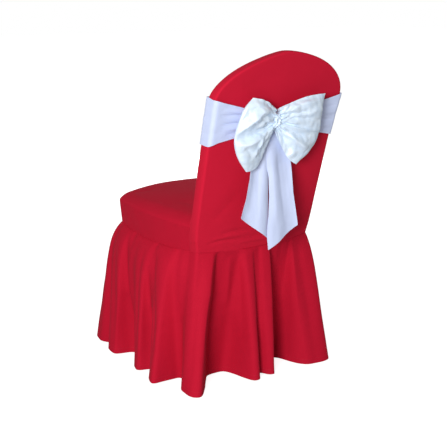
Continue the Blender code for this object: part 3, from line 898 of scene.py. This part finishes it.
def skirt_column(station, rise, hem, slow, ups):
    """The points of the skirt below this station of the waist seam, from the hem up.

    They spring out from the seam towards a slow line round the hem, and the flutes stand in and out of it.
    """
    seam = waist_point(station)
    away = waist_outward(station)
    puff = puff_at(seam)
    top = waist_height(seam.x, seam.y) + SEAM_TUCK
    low = HEM_LOW + HEM_LIFT * (0.5 - 0.5 * math.cos(2.0 * math.pi * HEM_WAVES * station / WAIST.length))
    column = []
    for up in ups:
        down = (1.0 - up) ** ROW_CROWDING
        spring = puff * (1.0 - math.exp(-down / PUFF_DROP)) - puff * down
        flat = seam + away * spring + (slow - seam) * down + (hem - slow) * down**rise
        column.append((flat.x, flat.y, mix(top, low, down)))
    return column


def fades_in(distance, reach):
    return np.clip(distance / reach, 0.0, 1.0)


def fades_out(distance, reach):
    return np.exp(-((distance / reach) ** 2))


def pinches(stations, below):
    """The height that the pinches at the tops of the dips give the skirt."""
    height = np.zeros(below.shape)
    for flute in FLUTES:
        at = 0.5 * (flute.dip_from + flute.dip_to)
        away = np.abs((stations - at + 0.5 * WAIST.length) % WAIST.length - 0.5 * WAIST.length)
        fade = fades_out(below, PINCH_DROP) * fades_in(below, PINCH_START)
        height -= PINCH_DEPTH * fades_out(away, PINCH_WIDTH)[None, :] * fade
    return height


def build_skirt():
    stations = hem_stations()
    ups = close_at_ends(SKIRT_ROWS)
    hem_line = np.array([hem_point(station) for station in stations])
    # The broad flute at the right rear corner is rounder than the others.
    broad = np.interp(stations, BROAD_STATIONS, BROAD_SHARES)[:, None]
    rounded = mix(smoothed(hem_line, HEM_ROUND), smoothed(hem_line, BROAD_ROUND), broad)
    hems = [Vector(p) for p in rounded]
    slows = [Vector(p) for p in smoothed(hem_line, SLOW_ROUND)]
    tops = stations + np.interp(stations, LEAN_STATIONS, LEANS)
    columns = [skirt_column(*place, ups) for place in zip(tops, flute_rise(stations), hems, slows)]
    points = np.array(columns + columns[:1]).transpose(1, 0, 2)
    below = run(points, 0)[-1] - run(points, 0)
    across = np.broadcast_to(np.append(stations, WAIST.length), below.shape)
    height = pinches(np.append(tops, tops[0] + WAIST.length), below) + creased(across, below, SKIRT_CREASES)
    height += uneven(points, SKIRT_RIPPLE) * fades_in(below, RIPPLE_START)
    height -= TUCK_DEPTH * fades_in(TUCK_REACH - below, TUCK_REACH - SEAM_TUCK)
    return raised(points, height, ring=True)


skirt_points = build_skirt()
# The skirt wears the darker copy of the crimson, as painted shade.
skirt_cloth = cloth_piece("skirt_cloth", skirt_points, CLOTH_THICKNESS, INWARDS, SHADED_POLYESTER, ring=True)
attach(skirt_cloth, "root")
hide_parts("skirt")

# ---- Hem stitches ----
# The skirt's hem is turned up inside and sewn down by machine, with crimson thread, in one row of stitches
# that shows on the outside.

HEM_TURN = 0.015
STITCH_SIZES = {"Pitch": 0.0034, "Stitch length": 0.0026, "Thread radius": 0.00028}
THREAD_TWISTS = 900.0
# How dark the painted shade between the thread's strands is, as a share of its colour
THREAD_SHADE = 0.8


def stitch_tree():
    """A row of thread stitches along the edges of a mesh, each half sunk in the cloth."""
    tree, given, end = new_group(
        "stitch_row",
        "GeometryNodeTree",
        {"Line": "Geometry", **dict.fromkeys(STITCH_SIZES, "Float"), "Thread": "Material"},
        {"Stitches": "Geometry"},
    )
    line = add_node(tree, "GeometryNodeMeshToCurve", {"Mesh": given["Line"]}).outputs
    spaced = {"Curve": line["Curve"], "Length": given["Pitch"]}
    places = add_node(tree, "GeometryNodeCurveToPoints", spaced, mode="LENGTH").outputs
    stitch = add_node(tree, "GeometryNodeMeshUVSphere", {"Segments": 6, "Rings": 4, "Radius": 1.0}).outputs
    radius, half = given["Thread radius"], math_node(tree, "MULTIPLY", given["Stitch length"], 0.5)
    size = add_node(tree, "ShaderNodeCombineXYZ", {"X": radius, "Y": radius, "Z": half}).outputs
    sewn = {
        "Points": places["Points"],
        "Rotation": places["Rotation"],
        "Instance": stitch["Mesh"],
        "Scale": size["Vector"],
    }
    placed = add_node(tree, "GeometryNodeInstanceOnPoints", sewn).outputs
    real = add_node(tree, "GeometryNodeRealizeInstances", {"Geometry": placed["Instances"]}).outputs
    finished = {"Geometry": real["Geometry"], "Material": given["Thread"]}
    threads = add_node(tree, "GeometryNodeSetMaterial", finished).outputs
    fill(tree, end, {"Stitches": threads["Geometry"]})
    return tree


STITCH_ROW = stitch_tree()


def stitches(name, lines, material):
    """One piece with a row of stitches along each of these lines of points."""
    points, edges = [], []
    for line in lines:
        edges += [(len(points) + i, len(points) + i + 1) for i in range(len(line) - 1)]
        points += [tuple(p) for p in np.asarray(line) + SEAT_MIDDLE]
    guide = bpy.data.meshes.new(name)
    guide.from_pydata(points, edges, [])
    piece = new_object(name, guide)
    rows = piece.modifiers.new("stitches", "NODES")
    rows.node_group = STITCH_ROW
    values = {**STITCH_SIZES, "Thread": material}
    for item in STITCH_ROW.interface.items_tree:
        if item.in_out == "INPUT" and item.name in values:
            rows[item.identifier] = values[item.name]
    as_plain_mesh(piece)
    return piece


def thread(name, colour):
    """Twisted thread, with painted shade that makes it a little darker between its strands."""
    material, tree, shader = new_material(name)
    place = add_node(tree, "ShaderNodeTexCoord", {}).outputs["Object"]
    twist = add_node(tree, "ShaderNodeTexWave", {"Vector": place, "Scale": THREAD_TWISTS}).outputs["Fac"]
    shade = shade_between(tree, [THREAD_SHADE * c for c in colour], colour, twist)
    bump = {"Height": twist, "Distance": 0.0001, "Strength": 0.6}
    normal = add_node(tree, "ShaderNodeBump", bump).outputs["Normal"]
    fill(tree, shader, {"Base Color": shade, "Normal": normal, "Roughness": 0.45})
    return material


def line_at(points, rise):
    """The line along a sheet at this distance up from its first row."""
    up = run(points, 0)
    at = [np.searchsorted(up[:, c], rise) for c in range(points.shape[1])]
    shares = [(rise - up[r - 1, c]) / (up[r, c] - up[r - 1, c]) for c, r in enumerate(at)]
    return [mix(points[r - 1, c], points[r, c], s) for c, (r, s) in enumerate(zip(at, shares))]


CRIMSON_THREAD = thread("crimson_thread", (0.52, 0.012, 0.040))
hem_stitches = stitches("hem_stitches", [line_at(skirt_points, HEM_TURN)], CRIMSON_THREAD)
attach(hem_stitches, "root")

# ---- Sash round the back ----
# A strip of white satin with narrow sewn edges, wrapped round the chair's back over the cover. Behind the
# chair it draws in towards the knot, in soft folds along its length.

SATIN_THICKNESS = 0.0006
SASH_CLEARANCE = 0.0018
SASH_CORNER = 0.012
SASH_FRONT = (0.702, 0.8255)
KNOT_X = 0.032
KNOT_Z = 0.757
SASH_COLUMNS = 400
SASH_ROWS = 44
SASH_CORNER_STEPS = 8
SASH_RIPPLE = Ripple(0.0010, 0.016, 53.0, (0.35, 0.35, 1.0))
EDGE_HEM = 0.005
SATIN_LIGHT = (0.622, 0.697, 0.920)
SATIN_DEEP = (0.575, 0.650, 0.890)
SashEdges = namedtuple("SashEdges", "x low high")
SASH_EDGES = rows_of(
    SashEdges,
    (-0.203, 0.696, 0.813),
    (-0.155, 0.706, 0.801),
    (-0.080, 0.716, 0.789),
    (0.000, 0.726, 0.780),
    (0.060, 0.728, 0.780),
    (0.120, 0.719, 0.795),
    (0.184, 0.708, 0.812),
    (0.210, 0.699, 0.820),
)
SASH_CREASES = crease_table(
    (4, -2.8, (190, 780), (140, 777), (70, 768)),
    (5, 2.6, (180, 793), (130, 786), (70, 774)),
    (4.5, -3, (185, 755), (130, 756), (60, 756)),
    (5, 2.6, (175, 741), (120, 744), (60, 749)),
    (4.5, -2.8, (165, 728), (110, 734), (60, 742)),
    (4.5, -3, (-190, 780), (-120, 774), (-50, 765)),
    (5, 2.8, (-195, 762), (-130, 760), (-50, 758)),
    (4.5, -3, (-190, 742), (-120, 745), (-50, 750)),
    (5, 2.8, (-185, 722), (-120, 732), (-50, 742)),
)


def sash_outline(z):
    """The closed line of the band round the back at this height, from the middle of the front."""
    left = back_half_width(z, 1.0) + SASH_CLEARANCE
    right = -back_half_width(z, -1.0) - SASH_CLEARANCE
    rear_y = back_y(z) + BACK_CROWN + SASH_CLEARANCE
    front_y = back_y(z) - BACK_DEPTH - BACK_CROWN - SASH_CLEARANCE
    corners = [Vector(c) for c in ((left, front_y), (left, rear_y), (right, rear_y), (right, front_y))]
    points = []
    for i, corner in enumerate(corners):
        before = (corners[i - 1] - corner).normalized() * SASH_CORNER
        after = (corners[(i + 1) % 4] - corner).normalized() * SASH_CORNER
        points += rounded_corner(corner + before, corner, corner + after, SASH_CORNER_STEPS)
        points.append(corner + after)
    middle = Vector((0.0, front_y))
    return [middle] + points + [middle]


def sash_band(share, up):
    """A point of the band. Its edges draw in towards the knot across the rear of the chair."""
    z = mix(*SASH_FRONT, up)
    # The line round the back depends on the height, which depends on it in turn, so it is found twice.
    for _ in range(2):
        line = Path(sash_outline(z))
        point = line.at(share * line.length)
        behind = ease(1.0 - (back_y(z) - point.y) / BACK_DEPTH)
        edges = SashEdges(*read_column(SASH_EDGES, point.x))
        z = mix(mix(SASH_FRONT[0], edges.low, behind), mix(SASH_FRONT[1], edges.high, behind), up)
    return point.x, point.y, z


def build_sash():
    points = bend(sash_band, evenly(SASH_COLUMNS), evenly(SASH_ROWS))
    points[:, -1] = points[:, 0]
    half = 0.5 * BACK_DEPTH
    behind = np.clip((points[..., 1] - back_y(points[..., 2]) + half) / half, 0.0, 1.0)
    height = creased(points[..., 0], points[..., 2], SASH_CREASES) * behind
    return raised(points, height + uneven(points, SASH_RIPPLE), ring=True)


# The satin's fine threads, with long floats between them that shine
SATIN_WEAVE = {
    "Threads per metre": 2600.0,
    "Slubs per thread": 0.3,
    "Slub length": 0.030,
    "Mottle scale": 40.0,
}
SATIN_ROUGH_RANGE = 0.12
SATIN_BUMPS = (("Mottle", 0.0008, 0.4), ("Slubs", 0.00010, 0.4))


def satin(name, deep, light, rough, gloss, metal):
    finish = {"Specular IOR Level": gloss, "Metallic": metal, "Sheen Weight": 0.10, "Sheen Roughness": 0.3}
    return woven_cloth(name, deep, light, SATIN_WEAVE, (rough, SATIN_ROUGH_RANGE), SATIN_BUMPS, finish)


SATIN = satin("white_satin", SATIN_DEEP, SATIN_LIGHT, rough=0.64, gloss=0.10, metal=0.0)
WHITE_THREAD = thread("white_thread", (0.80, 0.83, 0.93))


def edge_stitches(name, points):
    """The rows of stitches that hold the narrow hems along a sheet's two long edges."""
    lines = [line_at(points, EDGE_HEM), line_at(points[::-1], EDGE_HEM)]
    piece = stitches(name, lines, WHITE_THREAD)
    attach(piece, "root")
    return piece


sash_points = build_sash()
sash = cloth_piece(
    "sash_round_back", sash_points, SATIN_THICKNESS, BOTH_WAYS, SATIN, ring=True, length_up=True
)
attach(sash, "root")
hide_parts("sash_band")
edge_stitches("sash_edge_stitches", sash_points)

# ---- Loops of the bow ----
# Two loops of the same sash, folded back on themselves and gathered hard into the knot, so that they
# crumple there and open out into broad, glossy folds.

KNOT_STAND = 0.034
LOOP_ROOT = 0.0045
LOOP_PINCH = 0.004
LOOP_COLUMNS = 170
LOOP_ROWS = 110

# How far the outer and the inner layer swell, how soon they do so on the way out, how much narrower the
# inner layer is, and how sharply each layer takes over from the other at the loop's outer end
SWELL_OUTER = 1.6
SWELL_INNER = 0.8
SWELL_POWER = 0.7
INNER_TUCK = 0.13
TUCK_TURN = 1.6
OUTER_TURN = 3.0

# A loop has a row for each of its ribs, from the top edge to the bottom one: how far it reaches and rises
# from the knot, its height at the knot, how far its outer end stands off the back, how wide it opens, and
# how far it arches upwards on its way out.
Rib = namedtuple("Rib", "reach rise root stand swell arch")
LEFT_LOOP = rows_of(
    Rib,
    (0.085, 0.067, 0.032, 0.034, 0.004, 0.007),
    (0.107, 0.044, 0.020, 0.040, 0.018, 0.004),
    (0.1220, 0.009, 0.008, 0.043, 0.020, 0.000),
    (0.1285, -0.030, 0.000, 0.044, 0.012, 0.000),
    (0.124, -0.063, -0.009, 0.050, 0.020, 0.000),
    (0.112, -0.092, -0.017, 0.058, 0.016, -0.016),
    (0.089, -0.123, -0.024, 0.064, 0.005, -0.034),
)
RIGHT_LOOP = rows_of(
    Rib,
    (-0.1505, 0.063, 0.034, 0.034, 0.004, 0.010),
    (-0.141, 0.033, 0.021, 0.042, 0.018, 0.005),
    (-0.144, -0.005, 0.008, 0.045, 0.020, 0.000),
    (-0.1465, -0.040, -0.001, 0.045, 0.012, 0.000),
    (-0.1325, -0.0726, -0.010, 0.050, 0.020, 0.000),
    (-0.106, -0.0975, -0.018, 0.058, 0.016, -0.010),
    (-0.072, -0.1205, -0.026, 0.064, 0.005, -0.020),
)

# The creases of the outer layers, from the middle of the knot, and the share of their height that is kept
CREASE_SHARE = 0.94
LEFT_CREASES = crease_table(
    (9, -10, (134, -30), (104, 0), (82, 16), (64, 30), (24, 34)),
    (15, 5, (126, 8), (98, 30), (76, 48)),
    (9, 8.5, (128, -36), (96, -33), (64, -22), (16, -6)),
    (7, -6, (120, -52), (92, -50), (56, -36)),
    (6, -8, (52, -30), (60, -56), (72, -86)),
    (8, 4.8, (104, -58), (86, -74), (78, -92)),
    (7.5, 8.5, (20, -34), (36, -64), (50, -90)),
    (5, 5, (62, -50), (64, -72), (56, -92)),
    (4.5, 5, (12, 14), (38, 20), (64, 14)),
    (4, -5, (12, 6), (40, 6), (66, -4)),
    (4.5, -6, (12, -14), (30, -32), (44, -50)),
    (6, 4, (14, 26), (36, 44), (56, 56)),
)
RIGHT_CREASES = crease_table(
    (7, -5.5, (-10, 24), (-40, 36), (-80, 44), (-128, 46)),
    (6, 3, (-14, 30), (-56, 50), (-110, 56)),
    (8, 7, (-16, 14), (-46, 16), (-86, 24)),
    (10, 7, (-14, 4), (-66, 6), (-136, -10)),
    (6.5, -10, (-20, -14), (-80, -27), (-150, -34)),
    (8, 7, (-20, -18), (-60, -38), (-106, -46)),
    (7.5, -8.5, (-30, -32), (-62, -56), (-100, -80)),
    (9, 8.5, (-12, -20), (-28, -50), (-50, -90)),
    (4, -4.5, (-14, -2), (-38, -2), (-58, -8)),
    (9, -5, (-84, 14), (-110, 24), (-136, 22)),
)

# The gathers: how many small pleats spread from the knot, how deep they are, how far they reach, how much
# and how often they wander, how far out they start, and how far they shift between the two layers
GATHERS = 8
GATHER_DEPTH = 0.0030
GATHER_REACH = 0.046
GATHER_WANDER = (0.021, 0.030)
GATHER_START = 0.012
GATHER_SHIFT = 1.5

# The crumples: sharp ridges that fan out from the knot, how closely they lie, how high they stand near the
# knot, and what share of that is left far from it
CRUMPLE_FAN = 3.4
CRUMPLE_LENGTH = 0.036
CRUMPLE_SHARPNESS = 3.6
CRUMPLE_HEIGHT = 0.0028
CRUMPLE_REACH = 0.07
CRUMPLE_FAR = 0.3

# The height and size of the satin's swells, which start outside the knot, and of its dimples
SWELL_RIPPLE = (0.0017, 0.030)
SWELL_START = 0.05
DIMPLE_RIPPLE = (0.0011, 0.012)

# The loops and the knot show the glossier face of the satin. Their colour runs in blotches from an icy
# white, which is a painted highlight, to a lilac, which is painted shade; the blotches follow the weave's
# slubs and mottle.
GLOSSY_PAINTED_HIGHLIGHT = (0.960, 1.000, 1.000)
GLOSSY_PAINTED_SHADE = (0.500, 0.710, 1.000)


def read_table(rows, place):
    """The row at this place down a table whose rows are evenly spaced, with a smooth curve between them."""
    last = len(rows) - 1
    at = min(max(place, 0.0), 1.0) * last
    index = min(int(at), last - 1)
    before, here, there, after = (
        Vector(rows[min(max(i, 0), last)]) for i in (index - 1, index, index + 1, index + 2)
    )
    t = at - index
    return (
        here
        + (there - before) * (0.5 * t)
        + (before * 2.0 - here * 5.0 + there * 4.0 - after) * (0.5 * t * t)
        + (here * 3.0 - before - there * 3.0 + after) * (0.5 * t * t * t)
    )


def loop_point(rib, along):
    """A point on one rib of a loop. Along runs out from the knot on the outer layer and back."""
    turn = math.pi * along
    out = math.sin(turn)
    side = math.copysign(1.0, rib.reach)
    x = KNOT_X + mix(side * LOOP_ROOT, rib.reach, out)
    z = KNOT_Z + mix(rib.root, rib.rise, out) + rib.arch * math.sin(math.pi * out)
    layer = math.cos(turn)
    swell = rib.swell * mix(SWELL_INNER, SWELL_OUTER, 0.5 + 0.5 * layer) * out**SWELL_POWER
    depth = layer * (LOOP_PINCH + swell)
    return x, back_y(z) + mix(KNOT_STAND, rib.stand, out) + depth, z


def crumples(x, z, seed):
    """Sharp ridges, from about -1 to 1, that fan out from the knot."""
    fan = np.arctan2(z, np.abs(x)) * CRUMPLE_FAN
    place = np.stack([fan, np.hypot(x, z) / CRUMPLE_LENGTH, 0.0 * x], axis=2)
    return 1.0 - CRUMPLE_SHARPNESS * np.abs(uneven(place, Ripple(1.0, 1.0, seed)))


def build_loop(ribs, creases, seed):
    """The rows of a loop from its bottom edge up. The left one starts on its outer layer."""
    ups, alongs = evenly(LOOP_ROWS), evenly(LOOP_COLUMNS)
    if ribs[0].reach < 0.0:
        alongs.reverse()
    layer = np.cos(math.pi * np.array(alongs))
    # The inner layer is a little narrower, so that it stays out of sight behind the outer one.
    shares = [0.5 - 0.5 * INNER_TUCK * ease(-TUCK_TURN * share) for share in layer]
    rows = [
        [
            loop_point(Rib(*read_table(ribs, 0.5 + (1.0 - 2.0 * up) * share)), along)
            for share, along in zip(shares, alongs)
        ]
        for up in ups
    ]
    points = np.array(rows)
    outer = np.clip(layer * OUTER_TURN, 0.0, 1.0)
    x, z = points[..., 0] - KNOT_X, points[..., 2] - KNOT_Z
    reach = np.hypot(x, z)
    height = CREASE_SHARE * creased(x, z, creases) * outer
    wander = uneven(points, Ripple(*GATHER_WANDER, seed))
    gathers = np.sin(2.0 * math.pi * GATHERS * (np.array(ups)[:, None] + wander) + GATHER_SHIFT * layer)
    height += GATHER_DEPTH * gathers * fades_out(reach, GATHER_REACH) * fades_in(reach, GATHER_START)
    crumpled = mix(CRUMPLE_FAR, 1.0, fades_out(reach, CRUMPLE_REACH)) * outer
    height += CRUMPLE_HEIGHT * crumples(x, z, seed) * crumpled
    height += uneven(points, Ripple(*SWELL_RIPPLE, seed + 5.0)) * fades_in(reach, SWELL_START)
    height += uneven(points, Ripple(*DIMPLE_RIPPLE, seed + 9.0)) * outer
    return raised(points, height)


# The glossy satin's colours paint highlight and shade onto the loops and the knot in blotches.
GLOSSY_SATIN = satin("glossy_satin", GLOSSY_PAINTED_SHADE, GLOSSY_PAINTED_HIGHLIGHT, rough=0.36, gloss=0.7, metal=0.12)
loops = {}
for name, node, ribs, creases, seed in (
    ("left_loop", "bow_loop_left", LEFT_LOOP, LEFT_CREASES, 61.0),
    ("right_loop", "bow_loop_right", RIGHT_LOOP, RIGHT_CREASES, 67.0),
):
    points = build_loop(ribs, creases, seed)
    loop = cloth_piece(name, points, SATIN_THICKNESS, BOTH_WAYS, GLOSSY_SATIN, length_up=True)
    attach(loop, "root")
    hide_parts(node)
    loops[name] = (loop, edge_stitches(f"{name}_stitches", points))

# ---- Knot ----
# The sash passes once round its own middle and is drawn tight, which leaves a small crumpled lump between
# the loops.

KNOT_SIZE = (0.0135, 0.0120, 0.0200)
KNOT_SQUARE = 0.85
KNOT_CRUMPLE = 0.0040
KNOT_GRAIN = 0.0075
KNOT_STRETCH = 0.6
KNOT_SHARPNESS = 3.0
KNOT_COLUMNS = 96
KNOT_ROWS = 64
POLE_GAP = 0.00001


def knot_point(polar, turn):
    """A point on the knot's rounded block, pushed in and out by its crumples."""
    unit = (math.sin(polar) * math.cos(turn), math.sin(polar) * math.sin(turn), -math.cos(polar))
    x, y, z = (math.copysign(abs(c) ** KNOT_SQUARE, c) * half for c, half in zip(unit, KNOT_SIZE))
    rough = 1.0 - KNOT_SHARPNESS * abs(noise.noise(Vector((x, y, KNOT_STRETCH * z)) / KNOT_GRAIN))
    y += KNOT_CRUMPLE * rough * math.sin(polar) * math.copysign(abs(unit[1]) ** 0.5, unit[1])
    return KNOT_X + x, back_y(KNOT_Z + z) + KNOT_STAND + y, KNOT_Z + z


def build_knot():
    around, rings = KNOT_COLUMNS, KNOT_ROWS
    places = [(ring, step) for ring in range(rings + 1) for step in range(around)]
    points = [knot_point(math.pi * ring / rings, 2.0 * math.pi * step / around) for ring, step in places]
    faces = []
    for ring, step in places[:-around]:
        here, there = ring * around + step, ring * around + (step + 1) % around
        faces.append((here, there, there + around, here + around))
    mesh = bpy.data.meshes.new("knot")
    mesh.from_pydata([tuple(np.array(p) + SEAT_MIDDLE) for p in points], [], faces)
    layer = mesh.uv_layers.new(name="cloth").data
    for place, corner in zip(layer, mesh.loops):
        x, _, z = points[corner.vertex_index]
        place.uv = (x, z)
    mesh.materials.append(GLOSSY_SATIN)
    form = bmesh.new()
    form.from_mesh(mesh)
    bmesh.ops.remove_doubles(form, verts=form.verts, dist=POLE_GAP)
    bmesh.ops.recalc_face_normals(form, faces=form.faces)
    form.to_mesh(mesh)
    form.free()
    mesh.shade_smooth()
    return new_object("knot", mesh)


knot = build_knot()
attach(knot, "root")
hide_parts("bow_knot")
for name, length, area, others in (
    ("left_loop", 0.30, 0.041, [knot]),
    ("right_loop", 0.33, 0.047, []),
):
    loop, sewn = loops[name]

# ---- Tails of the bow ----
# The sash's two ends, which hang from under the knot in soft lengthwise folds and are cut on the slant.
# Their long edges have the same narrow hems as the rest of the sash.

TAIL_FOLD = 0.004
TAIL_FOLD_SOON = 3.0
TAIL_SLANT = 0.004
TAIL_COLUMNS = 44
TAIL_ROWS = 110
TAIL_RIPPLE = (0.0012, 0.022)
LENGTHWAYS = (1.0, 1.0, 0.3)

# A tail's two edges at each height, and how far back it hangs. It is cut between its last two heights.
TailEdges = namedtuple("TailEdges", "z inner outer y")
LEFT_TAIL = rows_of(
    TailEdges,
    (0.730, 0.028, 0.050, 0.294),
    (0.677, 0.028, 0.082, 0.291),
    (0.638, 0.030, 0.0906, 0.294),
    (0.607, 0.034, 0.0978, 0.2995),
    (0.560, 0.0376, 0.111, 0.3043),
    (0.510, 0.0405, 0.131, 0.3095),
    (0.440, 0.0422, 0.136, 0.3125),
)
LEFT_TAIL_CUT = (0.443, 0.510)
RIGHT_TAIL = rows_of(
    TailEdges,
    (0.730, 0.037, 0.006, 0.2970),
    (0.677, 0.039, -0.034, 0.2950),
    (0.638, 0.0400, -0.0385, 0.2980),
    (0.607, 0.0362, -0.0387, 0.3040),
    (0.560, 0.0386, -0.039, 0.3103),
    (0.505, 0.0442, -0.046, 0.3160),
    (0.479, 0.0482, -0.050, 0.3173),
    (0.448, 0.0494, -0.054, 0.3180),
    (0.412, 0.0453, -0.056, 0.3185),
)
RIGHT_TAIL_CUT = (0.412, 0.4677)
TAIL_CREASES = {
    "left_tail": crease_table(
        (9, -1.8, (52, 690), (68, 600), (78, 500)),
        (9, 1.4, (70, 680), (92, 610), (108, 520)),
    ),
    "right_tail": crease_table(
        (10, 1.6, (26, 700), (24, 600), (22, 480)),
        (9, -1.7, (4, 690), (0, 600), (-8, 480)),
        (9, 1.2, (-18, 680), (-22, 600), (-34, 500)),
    ),
}


def tail_point(rows, cut, width, down):
    """A point of a tail at a share across it, and a share down it to its cut end."""
    inner_end, outer_end = cut
    z = mix(rows[0].z, mix(inner_end, outer_end, width), down)
    edges = TailEdges(*read_column(rows, z))
    fold = TAIL_FOLD * math.sin(2.0 * math.pi * width) * ease(down * TAIL_FOLD_SOON)
    return mix(edges.inner, edges.outer, width), edges.y + fold + TAIL_SLANT * width, z


def build_tail(name, rows, cut, seed):
    """The rows of a tail from its cut end up, from the edge on the sitter's left."""
    widths, downs = evenly(TAIL_COLUMNS), evenly(TAIL_ROWS)[::-1]
    if rows[0].outer > rows[0].inner:
        widths.reverse()
    points = np.array([[tail_point(rows, cut, width, down) for width in widths] for down in downs])
    return raised(points, relief(points, TAIL_CREASES[name], Ripple(*TAIL_RIPPLE, seed, LENGTHWAYS)))


for name, node, rows, cut, length, area, seed in (
    ("left_tail", "bow_tail_left", LEFT_TAIL, LEFT_TAIL_CUT, 0.285, 0.0170, 71.0),
    ("right_tail", "bow_tail_right", RIGHT_TAIL, RIGHT_TAIL_CUT, 0.320, 0.0250, 73.0),
):
    points = build_tail(name, rows, cut, seed)
    tail = cloth_piece(name, points, SATIN_THICKNESS, BOTH_WAYS, SATIN)
    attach(tail, "root")
    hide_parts(node)
    sewn = edge_stitches(f"{name}_stitches", points.transpose(1, 0, 2))

# ---- Floor, light and camera ----
# A plain white studio floor, soft lamps behind and in front of the object, and white all round. The
# camera looks at the bow from behind the sitter's left, a little from above.

FLOOR_SIZE = 40.0
FLOOR_GREY = (0.45, 0.45, 0.45, 1.0)
WHITE = (1.0, 1.0, 1.0, 1.0)
FLOOR_GLOW = 0.86
SKY_LIGHT = 0.38
LIGHT_DISTANCE = 3.4
CAMERA_PLACE = (145.8264, 14.8768)  # azimuth and elevation in degrees
CAMERA_DISTANCE = 2.5584
AIM_RIGHT = 0.0113
AIM_UP = -0.0530
LENS = 69.66
SENSOR = 36.0


def plain_floor():
    half = FLOOR_SIZE / 2.0
    corners = [(-half, -half, 0.0), (half, -half, 0.0), (half, half, 0.0), (-half, half, 0.0)]
    mesh = bpy.data.meshes.new("floor")
    mesh.from_pydata(corners, [], [(0, 1, 2, 3)])
    material, tree, shader = new_material("white_floor")
    seen = add_node(tree, "ShaderNodeLightPath", {}).outputs["Is Camera Ray"]
    fill(tree, shader, {"Base Color": FLOOR_GREY, "Roughness": 0.9, "Specular IOR Level": 0.1})
    glow = math_node(tree, "MULTIPLY", seen, FLOOR_GLOW)
    fill(tree, shader, {"Emission Color": WHITE, "Emission Strength": glow})
    mesh.materials.append(material)
    return new_object("floor", mesh)


plain_floor()


def away(azimuth, elevation):
    """The direction from the object to a place round it, at this azimuth and elevation in degrees."""
    turn, rise = math.radians(azimuth), math.radians(elevation)
    level = math.cos(rise)
    return Vector((math.sin(turn) * level, -math.cos(turn) * level, math.sin(rise)))


centre = (cad_low + cad_high) / 2.0


def soft_light(name, azimuth, elevation, size, power, shines=True):
    """A round lamp that points at the middle of the object and isn't seen itself."""
    light = bpy.data.lights.new(name, "AREA")
    light.shape = "DISK"
    light.size = size
    light.energy = power
    lamp = new_object(name, light)
    lamp.visible_camera = False
    lamp.visible_glossy = shines
    direction = away(azimuth, elevation)
    lamp.location = centre + direction * LIGHT_DISTANCE
    lamp.rotation_euler = direction.to_track_quat("Z", "Y").to_euler()


soft_light("key_light", azimuth=134.0, elevation=14.0, size=1.0, power=92.0)
soft_light("front_light", azimuth=328.0, elevation=4.0, size=1.4, power=52.0, shines=False)

world = bpy.data.worlds.new("white_studio")
world.use_nodes = True
bpy.context.scene.world = world
tree = world.node_tree
around = fill(tree, tree.nodes["Background"], {"Color": WHITE, "Strength": SKY_LIGHT})
seen = add_node(tree, "ShaderNodeBackground", {"Color": WHITE})
path = add_node(tree, "ShaderNodeLightPath", {}).outputs
choice = {0: path["Is Camera Ray"], 1: around.outputs[0], 2: seen.outputs[0]}
surface = add_node(tree, "ShaderNodeMixShader", choice).outputs[0]
fill(tree, tree.nodes["World Output"], {"Surface": surface})

eye = bpy.data.cameras.new("camera")
eye.lens = LENS
eye.sensor_width = SENSOR
camera = new_object("camera", eye)
direction = away(*CAMERA_PLACE)
turn = direction.to_track_quat("Z", "Y")
aim = centre + turn @ Vector((AIM_RIGHT, AIM_UP, 0.0))
camera.location = aim + direction * CAMERA_DISTANCE
camera.rotation_euler = turn.to_euler()
bpy.context.scene.camera = camera
bpy.context.scene.view_settings.view_transform = "Standard"
